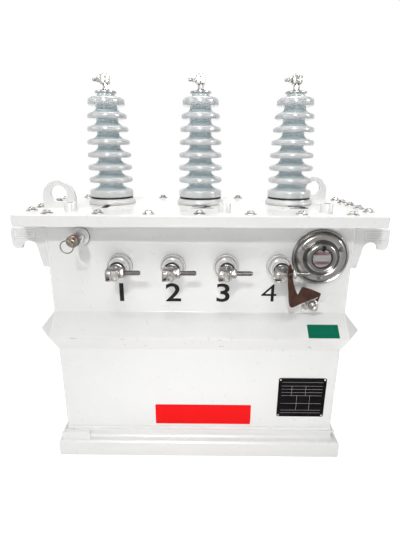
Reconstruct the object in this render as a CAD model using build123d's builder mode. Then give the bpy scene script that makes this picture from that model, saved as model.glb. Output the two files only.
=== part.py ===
from build123d import *
import os

# Three-phase distribution transformer filled with oil, in millimetres.
# The front faces -Y, +Z is up, and the origin is the middle of the footprint on the ground.
# A folded sheet tank with a ridge all round stands on a channel base. A flanged lid closes it,
# with three shedded high-voltage bushings. Four low-voltage bushings, an oil gauge and a relief
# valve sit on the front wall.

# Driving sizes of the tank
TANK_LENGTH = 876
TANK_DEPTH = 326
SHEET = 4
LOWER_WALL = 296
RIDGE_RISE = 70
RIDGE_FALL = 57
UPPER_WALL = 283
RIDGE_FRONT = 62
RIDGE_SIDE = 48

# Driving sizes of the base
BAND_HEIGHT = 62
BAND_OVERHANG = 28
BAND_RADIUS = 9
WEB_HEIGHT = 28
WEB_OVERHANG = 4
FLOOR_OVERHANG = 12
FLOOR_PLATE = 6
RAIL_SHEET = 5
RAIL_FOOT = 70
JACK_PAD_LENGTH = 101
JACK_PAD_DEPTH = 14

# Driving sizes of the lid and its seat
LID_OVERHANG = 62
LID_PLATE = 6
LID_SKIRT = 30
SKIRT_WALL = 5
LID_CORNER = 5
LID_EDGE = 2
RIM_PLATE = 8
RIM_CLEARANCE = 3
GASKET = 4
GASKET_INSET = 12

# Driving sizes of the lifting pieces
LUG_WIDTH = 94
LUG_HEIGHT = 82
LUG_PLATE = 12
LUG_HOLE_RADIUS = 23.5
LUG_HOLE_HEIGHT = 45
LUG_LEFT_SETBACK = 93
LUG_RIGHT_SETBACK = 114
LUG_EDGE_SETBACK = 117
HOOK_REACH = 104
HOOK_PLATE = 12
HOOK_HEIGHT = 117
HOOK_ARM = 61
HOOK_LEG = 21
HOOK_NOTCH_RADIUS = 22
HOOK_NOTCH_REACH = 54
HOOK_CORNER = 9
HOOK_TIP = 13
HOOK_INSET = 10
HOOK_LID_GAP = 16

# Driving sizes of the lid bosses
BOSS_RADIUS = 17
BOSS_HEIGHT = 28
BOSS_BORE = 11
BOSS_CHAMFER = 1.5
BOSS_EDGE_SETBACK = 58
BOSS_LEFT_SETBACK = 143
BOSS_RIGHT_SETBACK = 151
BOSS_MIDDLE_X = 69

# Driving sizes of the high-voltage bushings
HV_PITCH = 290
HV_Y = 41
HV_FLANGE_RADIUS = 72
HV_FLANGE = 11
HV_FLANGE_BORE = 45
HV_FLANGE_CHAMFER = 2
HV_GASKET_RADIUS = 63.5
HV_GASKET = 7
HV_SHEDS = 7
HV_SHED_PITCH = 38
HV_SHED_BOTTOM = 69.5
HV_SHED_TOP = 56
HV_NECK_BOTTOM = 39
HV_NECK_TOP = 33
HV_RIM = 13
HV_RIM_EDGE = 4
HV_SLOPE = 15
HV_SLOPE_SHARE = 0.4
HV_COLLAR = 26
HV_FIRST_NECK = 23
HV_CROWN = 35.8
HV_HEAD_RADIUS = 25
HV_DOME = 10
HV_DOME_SHARE = 0.55
HV_CAP_RADIUS = 29
HV_CAP = 12
HV_CAP_EDGE = 3
HV_STEM_RADIUS = 6.5
HV_STEM = 44
STEM_CLEARANCE = 0.15
HV_CLAMP_WIDTH = 27
HV_CLAMP_DEPTH = 24
HV_CLAMP_HEIGHT = 25
HV_CLAMP_LIFT = 14
HV_CLAMP_EDGE = 3
HV_BOLT_RADIUS = 5
HV_BOLT_REACH = 19

# Driving sizes of the low-voltage bushings
LV_PITCH = 154
LV_DROP = 138
LV_FLANGE_RADIUS = 37
LV_FLANGE = 15
LV_SHOULDER_RADIUS = 31
LV_NOSE_RADIUS = 24
LV_LENGTH = 36
LV_SHOULDER = 24
LV_EDGE = 4
LV_COUNT = 4
LV_SEAL_RADIUS = 20
LV_SEAL = 5
LV_SEAL_BORE = 12
LV_NECK_RADIUS = 10
LV_NECK = 12
LV_CLAMP_WIDTH = 50
LV_CLAMP_HEIGHT = 42
LV_CLAMP_DEPTH = 36
LV_CLAMP_EDGE = 5
LV_SLOT = 3.5
LV_SLOT_DEPTH = 24
LV_SLOT_LENGTH = 34
LV_STUD_RADIUS = 7
LV_STUD_REACH = 46
LV_WASHER_RADIUS = 15
LV_NUT_ACROSS = 24
LV_NUT = 11

# Driving sizes of the gauge, the relief valve and the earth connection
GAUGE_SETBACK = 92
GAUGE_DROP = 107
GAUGE_RADIUS = 81
GAUGE_RIM = 10
GAUGE_RIM_WIDTH = 7
GAUGE_DISH = 4
GAUGE_BOSS_RADIUS = 45
GAUGE_BOSS = 24
GAUGE_BOSS_TAPER = 3
GAUGE_WINDOW_RADIUS = 27
GAUGE_WINDOW_DEPTH = 6
GLASS = 3
GLASS_CLEARANCE = 0.2
VALVE_SETBACK = 99
VALVE_DROP = 51
VALVE_SEAT_RADIUS = 27
VALVE_SEAT = 10
VALVE_SEAT_EDGE = 2
VALVE_BODY_RADIUS = 16
VALVE_BODY = 62
VALVE_TAPER = 3
VALVE_EYE_REACH = 7
VALVE_TAIL_RADIUS = 3.5
VALVE_TAIL = 12
RING_RADIUS = 17
RING_WIRE = 1.6
RING_EYE_CLEARANCE = 0.7
STRAP_WIDTH = 34
STRAP_LEG = 50
STRAP_TWIST = 40
STRAP_TWIST_STEPS = 4
STRAP_DRIFT = 39
STRAP_TIP = (-72, 7)
STRAP_CROOK = (-17, 29)
STRAP_SHOULDER = (17, 52)
STRAP_CREST = (-36, 73)
STRAP_HOLE_CLEARANCE = 0.3
STRAP = 3
EARTH_SETBACK = 103
EARTH_RISE = 26
EARTH_PAD_LENGTH = 62
EARTH_PAD_HEIGHT = 34
EARTH_PAD_CORNER = 5
EARTH_PAD = 16

# Levels and places worked out from the sizes above
RAIL_TOP = BAND_HEIGHT + WEB_HEIGHT
FLOOR_TOP = RAIL_TOP + FLOOR_PLATE
RIDGE_LOW = FLOOR_TOP + LOWER_WALL
RIDGE_APEX = RIDGE_LOW + RIDGE_RISE
RIDGE_HIGH = RIDGE_APEX + RIDGE_FALL
WALL_TOP = RIDGE_HIGH + UPPER_WALL
RIM_TOP = WALL_TOP + RIM_PLATE
GASKET_TOP = RIM_TOP + GASKET
LID_TOP = GASKET_TOP + LID_PLATE
LID_BOTTOM = LID_TOP - LID_SKIRT
HALF_LENGTH = TANK_LENGTH / 2
HALF_DEPTH = TANK_DEPTH / 2
LID_LENGTH = TANK_LENGTH + 2 * LID_OVERHANG
LID_DEPTH = TANK_DEPTH + 2 * LID_OVERHANG
LV_HEIGHT = WALL_TOP - LV_DROP
GAUGE_X = HALF_LENGTH - GAUGE_SETBACK
GAUGE_HEIGHT = WALL_TOP - GAUGE_DROP
VALVE_X = -HALF_LENGTH + VALVE_SETBACK
VALVE_HEIGHT = WALL_TOP - VALVE_DROP
EARTH_X = HALF_LENGTH - EARTH_SETBACK
EARTH_HEIGHT = RIDGE_HIGH + EARTH_RISE
BASE_LENGTH = TANK_LENGTH + 2 * BAND_OVERHANG
BASE_DEPTH = TANK_DEPTH + 2 * BAND_OVERHANG

# Upright planes on the front wall and on the left wall: x runs outwards and y runs up
FRONT_OUT = Plane(origin=(0, -HALF_DEPTH, 0), x_dir=(0, -1, 0), z_dir=(-1, 0, 0))
LEFT_OUT = Plane(origin=(-HALF_LENGTH, 0, 0), x_dir=(-1, 0, 0), z_dir=(0, 1, 0))

os.makedirs("parts", exist_ok=True)


def save(piece, name):
    """Label a finished piece and write it to its own file."""
    piece.label = name
    export_step(piece, f"parts/{name}.step")


def mirrored(piece, about):
    """The same piece on the other side of a plane."""
    with BuildPart() as copy:
        mirror(piece, about=about)
    return copy.part


# Base rails: folded sheet, with a rounded band at the ground, a recessed web and a top flange
# that carries the floor. The corners are mitred.
def rail_section():
    """Folded section of a rail, measured outwards from the tank wall."""
    inner = BAND_OVERHANG - RAIL_FOOT
    with BuildSketch() as section:
        with BuildLine():
            FilletPolyline(
                (inner, 0),
                (BAND_OVERHANG, 0),
                (BAND_OVERHANG, BAND_HEIGHT),
                (WEB_OVERHANG, BAND_HEIGHT),
                (WEB_OVERHANG, RAIL_TOP),
                (inner, RAIL_TOP),
                radius=BAND_RADIUS,
            )
            offset(amount=RAIL_SHEET, side=Side.LEFT)
        make_face()
    return section.sketch


def mitre_wedge(length, depth):
    """Ground outline of the rail along the -Y side of a length by depth rectangle."""
    with BuildSketch() as wedge:
        with BuildLine():
            Polyline(
                (-length / 2, -depth / 2),
                (length / 2, -depth / 2),
                (length / 2 - RAIL_FOOT, -depth / 2 + RAIL_FOOT),
                (-length / 2 + RAIL_FOOT, -depth / 2 + RAIL_FOOT),
                close=True,
            )
        make_face()
    return wedge.sketch


with BuildPart() as base_rail_front:
    with BuildSketch(FRONT_OUT):
        add(rail_section())
    extrude(amount=BASE_LENGTH / 2, both=True)
    # Jacking pad welded into the recess at the left end
    with BuildSketch(Plane.XY.offset(BAND_HEIGHT)):
        with Locations((-BASE_LENGTH / 2, -HALF_DEPTH - WEB_OVERHANG)):
            Rectangle(JACK_PAD_LENGTH, JACK_PAD_DEPTH, align=(Align.MIN, Align.MAX))
    extrude(amount=WEB_HEIGHT)
    with BuildSketch(Plane.XY):
        add(mitre_wedge(BASE_LENGTH, BASE_DEPTH))
    extrude(amount=RAIL_TOP, mode=Mode.INTERSECT)
save(base_rail_front.part, "base_rail_front")

with BuildPart() as base_rail_plain:
    with BuildSketch(FRONT_OUT):
        add(rail_section())
    extrude(amount=BASE_LENGTH / 2, both=True)
    with BuildSketch(Plane.XY):
        add(mitre_wedge(BASE_LENGTH, BASE_DEPTH))
    extrude(amount=RAIL_TOP, mode=Mode.INTERSECT)
save(mirrored(base_rail_plain.part, Plane.XZ), "base_rail_back")

with BuildPart() as base_rail_left:
    with BuildSketch(LEFT_OUT):
        add(rail_section())
    extrude(amount=BASE_DEPTH / 2, both=True)
    with BuildSketch(Plane((0, 0, 0), x_dir=(0, -1, 0), z_dir=(0, 0, 1))):
        add(mitre_wedge(BASE_DEPTH, BASE_LENGTH))
    extrude(amount=RAIL_TOP, mode=Mode.INTERSECT)
save(base_rail_left.part, "base_rail_left")
save(mirrored(base_rail_left.part, Plane.YZ), "base_rail_right")

# Tank floor: a plate on the rails, a little wider than the walls that stand on it
with BuildPart() as tank_floor:
    with BuildSketch(Plane.XY.offset(RAIL_TOP)):
        Rectangle(TANK_LENGTH + 2 * FLOOR_OVERHANG, TANK_DEPTH + 2 * FLOOR_OVERHANG)
    extrude(amount=FLOOR_PLATE)
save(tank_floor.part, "tank_floor")


# Tank walls: each one sheet, folded out to a ridge and back in
def wall_section(reach):
    """Folded section of a wall, measured outwards from its flat stretches."""
    with BuildSketch() as section:
        with BuildLine():
            Polyline((0, FLOOR_TOP), (0, RIDGE_LOW), (reach, RIDGE_APEX), (0, RIDGE_HIGH), (0, WALL_TOP))
            offset(amount=SHEET, side=Side.LEFT, kind=Kind.INTERSECTION)
        make_face()
    return section.sketch


with BuildPart() as front_wall:
    with BuildSketch(FRONT_OUT):
        add(wall_section(RIDGE_FRONT))
    extrude(amount=HALF_LENGTH, both=True)
back_wall = mirrored(front_wall.part, Plane.XZ)
save(front_wall.part, "front_wall")
save(back_wall, "back_wall")

with BuildPart() as left_wall:
    with BuildSketch(LEFT_OUT):
        add(wall_section(RIDGE_SIDE))
    extrude(amount=HALF_DEPTH, both=True)
    add(front_wall.part, mode=Mode.SUBTRACT)
    add(back_wall, mode=Mode.SUBTRACT)
save(left_wall.part, "left_wall")
save(mirrored(left_wall.part, Plane.YZ), "right_wall")

# Ridge corners: folded triangles that close the ridge between two walls
corner_diagonal = (RIDGE_FRONT**2 + RIDGE_SIDE**2) ** 0.5
corner_reach = RIDGE_FRONT * RIDGE_SIDE / corner_diagonal
corner_plane = Plane(
    origin=(-HALF_LENGTH, -HALF_DEPTH, 0),
    x_dir=(-RIDGE_FRONT, -RIDGE_SIDE, 0),
    z_dir=(-RIDGE_SIDE, RIDGE_FRONT, 0),
)
with BuildPart() as ridge_corners:
    with BuildSketch(corner_plane):
        with BuildLine():
            Polyline((0, RIDGE_LOW), (corner_reach, RIDGE_APEX), (0, RIDGE_HIGH))
            offset(amount=SHEET, side=Side.LEFT, kind=Kind.INTERSECTION)
        make_face()
    extrude(amount=corner_diagonal, both=True)
    with BuildSketch(Plane.XY.offset(RIDGE_LOW)):
        with Locations((-HALF_LENGTH, -HALF_DEPTH)):
            Rectangle(RIDGE_SIDE, RIDGE_FRONT, align=(Align.MAX, Align.MAX))
    extrude(amount=RIDGE_RISE + RIDGE_FALL, mode=Mode.INTERSECT)
    mirror(about=Plane.XZ)
    mirror(about=Plane.YZ)
save(ridge_corners.part, "ridge_corners")

# Rim flange on top of the walls, the gasket on it and the lid over both
rim_length = LID_LENGTH - 2 * SKIRT_WALL - 2 * RIM_CLEARANCE
rim_depth = LID_DEPTH - 2 * SKIRT_WALL - 2 * RIM_CLEARANCE
mouth_length = TANK_LENGTH - 2 * SHEET
mouth_depth = TANK_DEPTH - 2 * SHEET
with BuildPart() as tank_rim:
    with BuildSketch(Plane.XY.offset(WALL_TOP)):
        Rectangle(rim_length, rim_depth)
        Rectangle(mouth_length, mouth_depth, mode=Mode.SUBTRACT)
    extrude(amount=RIM_PLATE)
save(tank_rim.part, "tank_rim")

with BuildPart() as lid_gasket:
    with BuildSketch(Plane.XY.offset(RIM_TOP)):
        Rectangle(rim_length - 2 * GASKET_INSET, rim_depth - 2 * GASKET_INSET)
        Rectangle(mouth_length + 2 * GASKET_INSET, mouth_depth + 2 * GASKET_INSET, mode=Mode.SUBTRACT)
    extrude(amount=GASKET)
save(lid_gasket.part, "lid_gasket")

with BuildPart() as lid:
    with BuildSketch(Plane.XY.offset(LID_BOTTOM)):
        RectangleRounded(LID_LENGTH, LID_DEPTH, LID_CORNER)
    extrude(amount=LID_SKIRT)
    fillet(lid.faces().sort_by(Axis.Z)[-1].edges(), radius=LID_EDGE)
    with BuildSketch(Plane.XY.offset(LID_BOTTOM)):
        Rectangle(LID_LENGTH - 2 * SKIRT_WALL, LID_DEPTH - 2 * SKIRT_WALL)
    extrude(amount=LID_SKIRT - LID_PLATE, mode=Mode.SUBTRACT)
save(lid.part, "lid")


# Lifting lugs: arched plates with a round eye, welded to the lid at opposite corners
def lifting_lug(x, y):
    """One lug whose plate is centred on y."""
    face = Plane(origin=(x, y, LID_TOP), x_dir=(1, 0, 0), z_dir=(0, -1, 0))
    arch = LUG_WIDTH / 2
    with BuildPart() as lug:
        with BuildSketch(face):
            Rectangle(LUG_WIDTH, LUG_HEIGHT - arch, align=(Align.CENTER, Align.MIN))
            with Locations((0, LUG_HEIGHT - arch)):
                Circle(arch)
            with Locations((0, LUG_HOLE_HEIGHT)):
                Circle(LUG_HOLE_RADIUS, mode=Mode.SUBTRACT)
            split(bisect_by=Plane.XZ, keep=Keep.BOTTOM)
        extrude(amount=LUG_PLATE / 2, both=True)
    return lug.part


lug_y = LID_DEPTH / 2 - LUG_EDGE_SETBACK
save(lifting_lug(-LID_LENGTH / 2 + LUG_LEFT_SETBACK, -lug_y), "lug_left")
save(lifting_lug(LID_LENGTH / 2 - LUG_RIGHT_SETBACK, lug_y), "lug_right")

# Tank hooks: plates welded to the side walls under the lid, each with a leg and a downward
# notch for a sling
hook_top = LID_BOTTOM - HOOK_LID_GAP
hook_tip_level = hook_top - HOOK_ARM
hook_plane = LEFT_OUT.offset(-HALF_DEPTH + HOOK_INSET)
with BuildPart() as hook_front_left:
    with BuildSketch(hook_plane):
        with BuildLine():
            Polyline(
                (0, hook_top - HOOK_HEIGHT),
                (HOOK_LEG, hook_top - HOOK_HEIGHT),
                (HOOK_NOTCH_REACH - HOOK_NOTCH_RADIUS, hook_tip_level),
                (HOOK_REACH, hook_tip_level),
                (HOOK_REACH, hook_top),
                (0, hook_top),
                close=True,
            )
        make_face()
        fillet(vertices().group_by(Axis.X)[-1].sort_by(Axis.Y)[0], radius=HOOK_TIP)
        fillet(vertices().group_by(Axis.X)[-1].sort_by(Axis.Y)[-1], radius=HOOK_CORNER)
        with Locations((HOOK_NOTCH_REACH, hook_tip_level)):
            Circle(HOOK_NOTCH_RADIUS, mode=Mode.SUBTRACT)
    extrude(amount=HOOK_PLATE)
hook_back_left = mirrored(hook_front_left.part, Plane.XZ)
save(hook_front_left.part, "hook_front_left")
save(mirrored(hook_front_left.part, Plane.YZ), "hook_front_right")
save(hook_back_left, "hook_back_left")
save(mirrored(hook_back_left, Plane.YZ), "hook_back_right")

# Lid bosses: three short pockets along the front edge of the lid
boss_xs = (-LID_LENGTH / 2 + BOSS_LEFT_SETBACK, BOSS_MIDDLE_X, LID_LENGTH / 2 - BOSS_RIGHT_SETBACK)
with BuildPart() as lid_bosses:
    with BuildSketch(Plane.XY.offset(LID_TOP)):
        with Locations([(x, -LID_DEPTH / 2 + BOSS_EDGE_SETBACK) for x in boss_xs]):
            Circle(BOSS_RADIUS)
            Circle(BOSS_BORE, mode=Mode.SUBTRACT)
    extrude(amount=BOSS_HEIGHT)
    chamfer(edges().filter_by(GeomType.CIRCLE).group_by(Axis.Z)[-1], length=BOSS_CHAMFER)
save(lid_bosses.part, "lid_bosses")

# High-voltage bushings: a flange ring and a gasket on the lid, a shedded porcelain body, a cap
# with its stem, and a clamp on the stem
hv_foot = LID_TOP + HV_FLANGE + HV_GASKET
hv_shed_start = HV_COLLAR + HV_FIRST_NECK
hv_height = hv_shed_start + (HV_SHEDS - 1) * HV_SHED_PITCH + HV_CROWN
hv_cap_level = hv_foot + hv_height
hv_places = [(-HV_PITCH, HV_Y), (0, HV_Y), (HV_PITCH, HV_Y)]
hv_names = ["left", "centre", "right"]


def hv_neck(level):
    """Radius of the porcelain core at a height above its foot."""
    return HV_NECK_BOTTOM + (HV_NECK_TOP - HV_NECK_BOTTOM) * level / hv_height


def hv_shed_radius(index):
    """Radius of a shed, which falls off faster towards the top."""
    share = index / (HV_SHEDS - 1)
    return HV_SHED_BOTTOM - (HV_SHED_BOTTOM - HV_SHED_TOP) * share**2


def hv_porcelain(x, y):
    """One porcelain body, revolved about its upright axis."""
    face = Plane(origin=(x, y, hv_foot), x_dir=(1, 0, 0), z_dir=(0, -1, 0))
    with BuildPart() as porcelain:
        with BuildSketch(face):
            with BuildLine():
                start = (HV_SHED_BOTTOM - HV_RIM_EDGE, HV_COLLAR)
                Polyline((0, 0), (HV_SHED_BOTTOM, 0), (HV_SHED_BOTTOM, HV_COLLAR - HV_RIM_EDGE), start)
                for index in range(HV_SHEDS):
                    under = hv_shed_start + index * HV_SHED_PITCH
                    neck_level = under - HV_SHED_PITCH + HV_RIM + HV_SLOPE
                    if index == 0:
                        neck_level = HV_COLLAR + HV_SLOPE
                    neck = (hv_neck(neck_level), neck_level)
                    middle = (
                        neck[0] + HV_SLOPE_SHARE * (start[0] - neck[0]),
                        start[1] + HV_SLOPE_SHARE * (neck[1] - start[1]),
                    )
                    rim = hv_shed_radius(index)
                    lip = (rim, under + HV_RIM - HV_RIM_EDGE)
                    Polyline(start, middle, neck, (hv_neck(under), under), (rim, under), lip)
                    start = (rim - HV_RIM_EDGE, under + HV_RIM)
                    Line(lip, start)
                dome = (
                    HV_HEAD_RADIUS + HV_DOME_SHARE * (start[0] - HV_HEAD_RADIUS),
                    start[1] + HV_DOME * (1 - HV_DOME_SHARE**2),
                )
                head = (HV_HEAD_RADIUS, start[1] + HV_DOME)
                Polyline(start, dome, head, (HV_HEAD_RADIUS, hv_height), (0, hv_height), (0, 0))
            make_face()
        revolve(axis=Axis((x, y, 0), (0, 0, 1)))
    return porcelain.part


for hv_name, (x, y) in zip(hv_names, hv_places):
    save(hv_porcelain(x, y), f"hv_porcelain_{hv_name}")

with BuildPart() as hv_flanges:
    with BuildSketch(Plane.XY.offset(LID_TOP)):
        with Locations(hv_places):
            Circle(HV_FLANGE_RADIUS)
            Circle(HV_FLANGE_BORE, mode=Mode.SUBTRACT)
    extrude(amount=HV_FLANGE)
    chamfer(edges().filter_by(GeomType.CIRCLE).group_by(Axis.Z)[-1], length=HV_FLANGE_CHAMFER)
save(hv_flanges.part, "hv_flanges")

with BuildPart() as hv_gaskets:
    with BuildSketch(Plane.XY.offset(LID_TOP + HV_FLANGE)):
        with Locations(hv_places):
            Circle(HV_GASKET_RADIUS)
            Circle(HV_FLANGE_BORE + HV_FLANGE_CHAMFER, mode=Mode.SUBTRACT)
    extrude(amount=HV_GASKET)
save(hv_gaskets.part, "hv_gaskets")

with BuildPart() as hv_caps:
    with BuildSketch(Plane.XY.offset(hv_cap_level)):
        with Locations(hv_places):
            Circle(HV_CAP_RADIUS)
    extrude(amount=HV_CAP)
    chamfer(edges().filter_by(GeomType.CIRCLE), length=HV_CAP_EDGE)
    with BuildSketch(Plane.XY.offset(hv_cap_level + HV_CAP)):
        with Locations(hv_places):
            Circle(HV_STEM_RADIUS)
    extrude(amount=HV_STEM)
save(hv_caps.part, "hv_caps")


def hv_clamp(x, y):
    """Block clamped on the stem, with a bolt out to the left."""
    level = hv_cap_level + HV_CAP + HV_CLAMP_LIFT
    with BuildPart() as clamp:
        with BuildSketch(Plane.XY.offset(level)):
            with Locations((x, y)):
                RectangleRounded(HV_CLAMP_WIDTH, HV_CLAMP_DEPTH, HV_CLAMP_EDGE)
        extrude(amount=HV_CLAMP_HEIGHT)
        bolt_plane = Plane(
            origin=(x - HV_CLAMP_WIDTH / 2, y, level + HV_CLAMP_HEIGHT / 2),
            x_dir=(0, 1, 0),
            z_dir=(-1, 0, 0),
        )
        with BuildSketch(bolt_plane):
            Circle(HV_BOLT_RADIUS)
        extrude(amount=HV_BOLT_REACH)
        with BuildSketch(Plane.XY.offset(level)):
            with Locations((x, y)):
                Circle(HV_STEM_RADIUS + STEM_CLEARANCE)
        extrude(amount=HV_CLAMP_HEIGHT, mode=Mode.SUBTRACT)
    return clamp.part


for hv_name, (x, y) in zip(hv_names, hv_places):
    save(hv_clamp(x, y), f"hv_clamp_{hv_name}")

# Low-voltage bushings: stepped porcelain noses on the front wall, each with a rubber seal and
# a slotted clamp that carries a threaded stud to the right
lv_places = [LV_PITCH * (index - 1.5) for index in range(LV_COUNT)]


def wall_axis(x, level):
    """Plane for a profile turned about a line straight out of the front wall."""
    return Plane(origin=(x, -HALF_DEPTH, level), x_dir=(0, 0, 1), z_dir=(1, 0, 0))


def turned(points, x, level):
    """Turn a profile of radius and reach about a line straight out of the front wall."""
    with BuildPart() as piece:
        with BuildSketch(wall_axis(x, level)):
            with BuildLine():
                Polyline(*points, close=True)
            make_face()
        revolve(axis=Axis((x, -HALF_DEPTH, level), (0, -1, 0)))
    return piece.part


for index, x in enumerate(lv_places):
    nose = turned(
        [
            (0, 0),
            (LV_FLANGE_RADIUS, 0),
            (LV_FLANGE_RADIUS, LV_FLANGE - LV_EDGE),
            (LV_FLANGE_RADIUS - LV_EDGE, LV_FLANGE),
            (LV_SHOULDER_RADIUS, LV_FLANGE),
            (LV_SHOULDER_RADIUS, LV_SHOULDER),
            (LV_NOSE_RADIUS, LV_LENGTH),
            (0, LV_LENGTH),
        ],
        x,
        LV_HEIGHT,
    )
    save(nose, f"lv_bushing_{index + 1}")

with BuildPart() as lv_seals:
    for x in lv_places:
        add(
            turned(
                [
                    (LV_SEAL_BORE, LV_LENGTH),
                    (LV_SEAL_RADIUS, LV_LENGTH),
                    (LV_SEAL_RADIUS, LV_LENGTH + LV_SEAL),
                    (LV_SEAL_BORE, LV_LENGTH + LV_SEAL),
                ],
                x,
                LV_HEIGHT,
            )
        )
save(lv_seals.part, "lv_seals")

lv_clamp_start = LV_LENGTH + LV_NECK
lv_clamp_centre = lv_clamp_start + LV_CLAMP_DEPTH / 2


def lv_terminal(x, washer):
    """Slotted clamp on its neck, with a stud and nut to the right of it."""
    right_face = Plane(
        origin=(x + LV_CLAMP_WIDTH / 2, -HALF_DEPTH - lv_clamp_centre, LV_HEIGHT),
        x_dir=(0, 1, 0),
        z_dir=(1, 0, 0),
    )
    clamp_face = Plane(
        origin=(x, -HALF_DEPTH - lv_clamp_start, LV_HEIGHT),
        x_dir=(1, 0, 0),
        z_dir=(0, -1, 0),
    )
    neck_face = clamp_face.offset(-LV_NECK)
    with BuildPart() as terminal:
        with BuildSketch(clamp_face):
            RectangleRounded(LV_CLAMP_WIDTH, LV_CLAMP_HEIGHT, LV_CLAMP_EDGE)
        extrude(amount=LV_CLAMP_DEPTH)
        with BuildSketch(clamp_face.offset(LV_CLAMP_DEPTH - LV_SLOT_DEPTH)):
            with Locations((-LV_CLAMP_WIDTH / 2, 0)):
                Rectangle(LV_SLOT_LENGTH, LV_SLOT, align=(Align.MIN, Align.CENTER))
        extrude(amount=LV_SLOT_DEPTH, mode=Mode.SUBTRACT)
        with BuildSketch(neck_face):
            Circle(LV_NECK_RADIUS)
        extrude(amount=LV_NECK)
        with BuildSketch(right_face):
            Circle(LV_STUD_RADIUS)
        extrude(amount=LV_STUD_REACH)
        if washer:
            with BuildSketch(right_face):
                Circle(LV_WASHER_RADIUS)
            extrude(amount=STRAP)
        with BuildSketch(right_face.offset(STRAP)):
            RegularPolygon(LV_NUT_ACROSS / 2, 6, major_radius=False)
        extrude(amount=LV_NUT)
    return terminal.part


for index, x in enumerate(lv_places):
    save(lv_terminal(x, index < LV_COUNT - 1), f"lv_terminal_{index + 1}")

# Oil gauge: a spun dish with a raised rim and a boss that frames the window
gauge_dish = turned(
    [
        (0, 0),
        (GAUGE_RADIUS, 0),
        (GAUGE_RADIUS, GAUGE_RIM),
        (GAUGE_RADIUS - GAUGE_RIM_WIDTH, GAUGE_RIM),
        (GAUGE_RADIUS - 2 * GAUGE_RIM_WIDTH, GAUGE_DISH),
        (GAUGE_BOSS_RADIUS + GAUGE_BOSS_TAPER, GAUGE_DISH),
        (GAUGE_BOSS_RADIUS, GAUGE_BOSS),
        (GAUGE_WINDOW_RADIUS, GAUGE_BOSS),
        (GAUGE_WINDOW_RADIUS, GAUGE_BOSS - GAUGE_WINDOW_DEPTH),
        (0, GAUGE_BOSS - GAUGE_WINDOW_DEPTH),
    ],
    GAUGE_X,
    GAUGE_HEIGHT,
)
save(gauge_dish, "gauge_dish")

gauge_glass = turned(
    [
        (0, GAUGE_BOSS - GAUGE_WINDOW_DEPTH),
        (GAUGE_WINDOW_RADIUS - GLASS_CLEARANCE, GAUGE_BOSS - GAUGE_WINDOW_DEPTH),
        (GAUGE_WINDOW_RADIUS - GLASS_CLEARANCE, GAUGE_BOSS - GAUGE_WINDOW_DEPTH + GLASS),
        (0, GAUGE_BOSS - GAUGE_WINDOW_DEPTH + GLASS),
    ],
    GAUGE_X,
    GAUGE_HEIGHT,
)
save(gauge_glass, "gauge_glass")

# Relief valve: a seat on the wall, a body that sticks straight out, and a pull ring through
# the eye at its end
valve_seat = turned(
    [
        (0, 0),
        (VALVE_SEAT_RADIUS, 0),
        (VALVE_SEAT_RADIUS, VALVE_SEAT - VALVE_SEAT_EDGE),
        (VALVE_SEAT_RADIUS - VALVE_SEAT_EDGE, VALVE_SEAT),
        (0, VALVE_SEAT),
    ],
    VALVE_X,
    VALVE_HEIGHT,
)
save(valve_seat, "relief_valve_seat")

valve_end = VALVE_SEAT + VALVE_BODY
ring_y = -HALF_DEPTH - valve_end - VALVE_EYE_REACH
ring_across = RING_RADIUS / 2**0.5
with BuildPart() as relief_valve:
    add(
        turned(
            [
                (0, VALVE_SEAT),
                (VALVE_BODY_RADIUS, VALVE_SEAT),
                (VALVE_BODY_RADIUS, valve_end - VALVE_TAPER),
                (VALVE_BODY_RADIUS - VALVE_TAPER, valve_end),
                (VALVE_TAIL_RADIUS, valve_end),
                (VALVE_TAIL_RADIUS, valve_end + VALVE_TAIL),
                (0, valve_end + VALVE_TAIL),
            ],
            VALVE_X,
            VALVE_HEIGHT,
        )
    )
    eye_plane = Plane(origin=(VALVE_X, ring_y, VALVE_HEIGHT), x_dir=(0, 1, 0), z_dir=(1, 0, -1))
    with BuildSketch(eye_plane):
        Circle(RING_WIRE + RING_EYE_CLEARANCE)
    extrude(amount=VALVE_BODY_RADIUS, both=True, mode=Mode.SUBTRACT)
save(relief_valve.part, "relief_valve")

ring_centre = (VALVE_X - ring_across, ring_y, VALVE_HEIGHT - ring_across)
with BuildPart() as pull_ring:
    with BuildSketch(Plane(origin=ring_centre, x_dir=(1, 0, 0), z_dir=(0, 0, 1))):
        with Locations((RING_RADIUS, 0)):
            Circle(RING_WIRE)
    revolve(axis=Axis(ring_centre, (0, 1, 0)))
save(pull_ring.part, "pull_ring")

# Earth connection: a pad welded to the wall, and a copper strap from the last low-voltage
# stud that twists to face the front, turns up over the pad, and comes back down onto it
with BuildPart() as earth_pad:
    with BuildSketch(Plane(origin=(EARTH_X, -HALF_DEPTH, EARTH_HEIGHT), x_dir=(1, 0, 0), z_dir=(0, -1, 0))):
        RectangleRounded(EARTH_PAD_LENGTH, EARTH_PAD_HEIGHT, EARTH_PAD_CORNER)
    extrude(amount=EARTH_PAD)
save(earth_pad.part, "earth_pad")

strap_x = lv_places[-1] + LV_CLAMP_WIDTH / 2
strap_y = -HALF_DEPTH - lv_clamp_centre
strap_low_y = -HALF_DEPTH - EARTH_PAD
strap_fold_x = lv_places[-1] + STRAP_DRIFT
strap_fold_level = LV_HEIGHT - STRAP_LEG - STRAP_TWIST


def from_earth(offset):
    """Point on the strap's flat end, measured from the middle of the pad."""
    return (EARTH_X + offset[0], EARTH_HEIGHT + offset[1])


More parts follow.
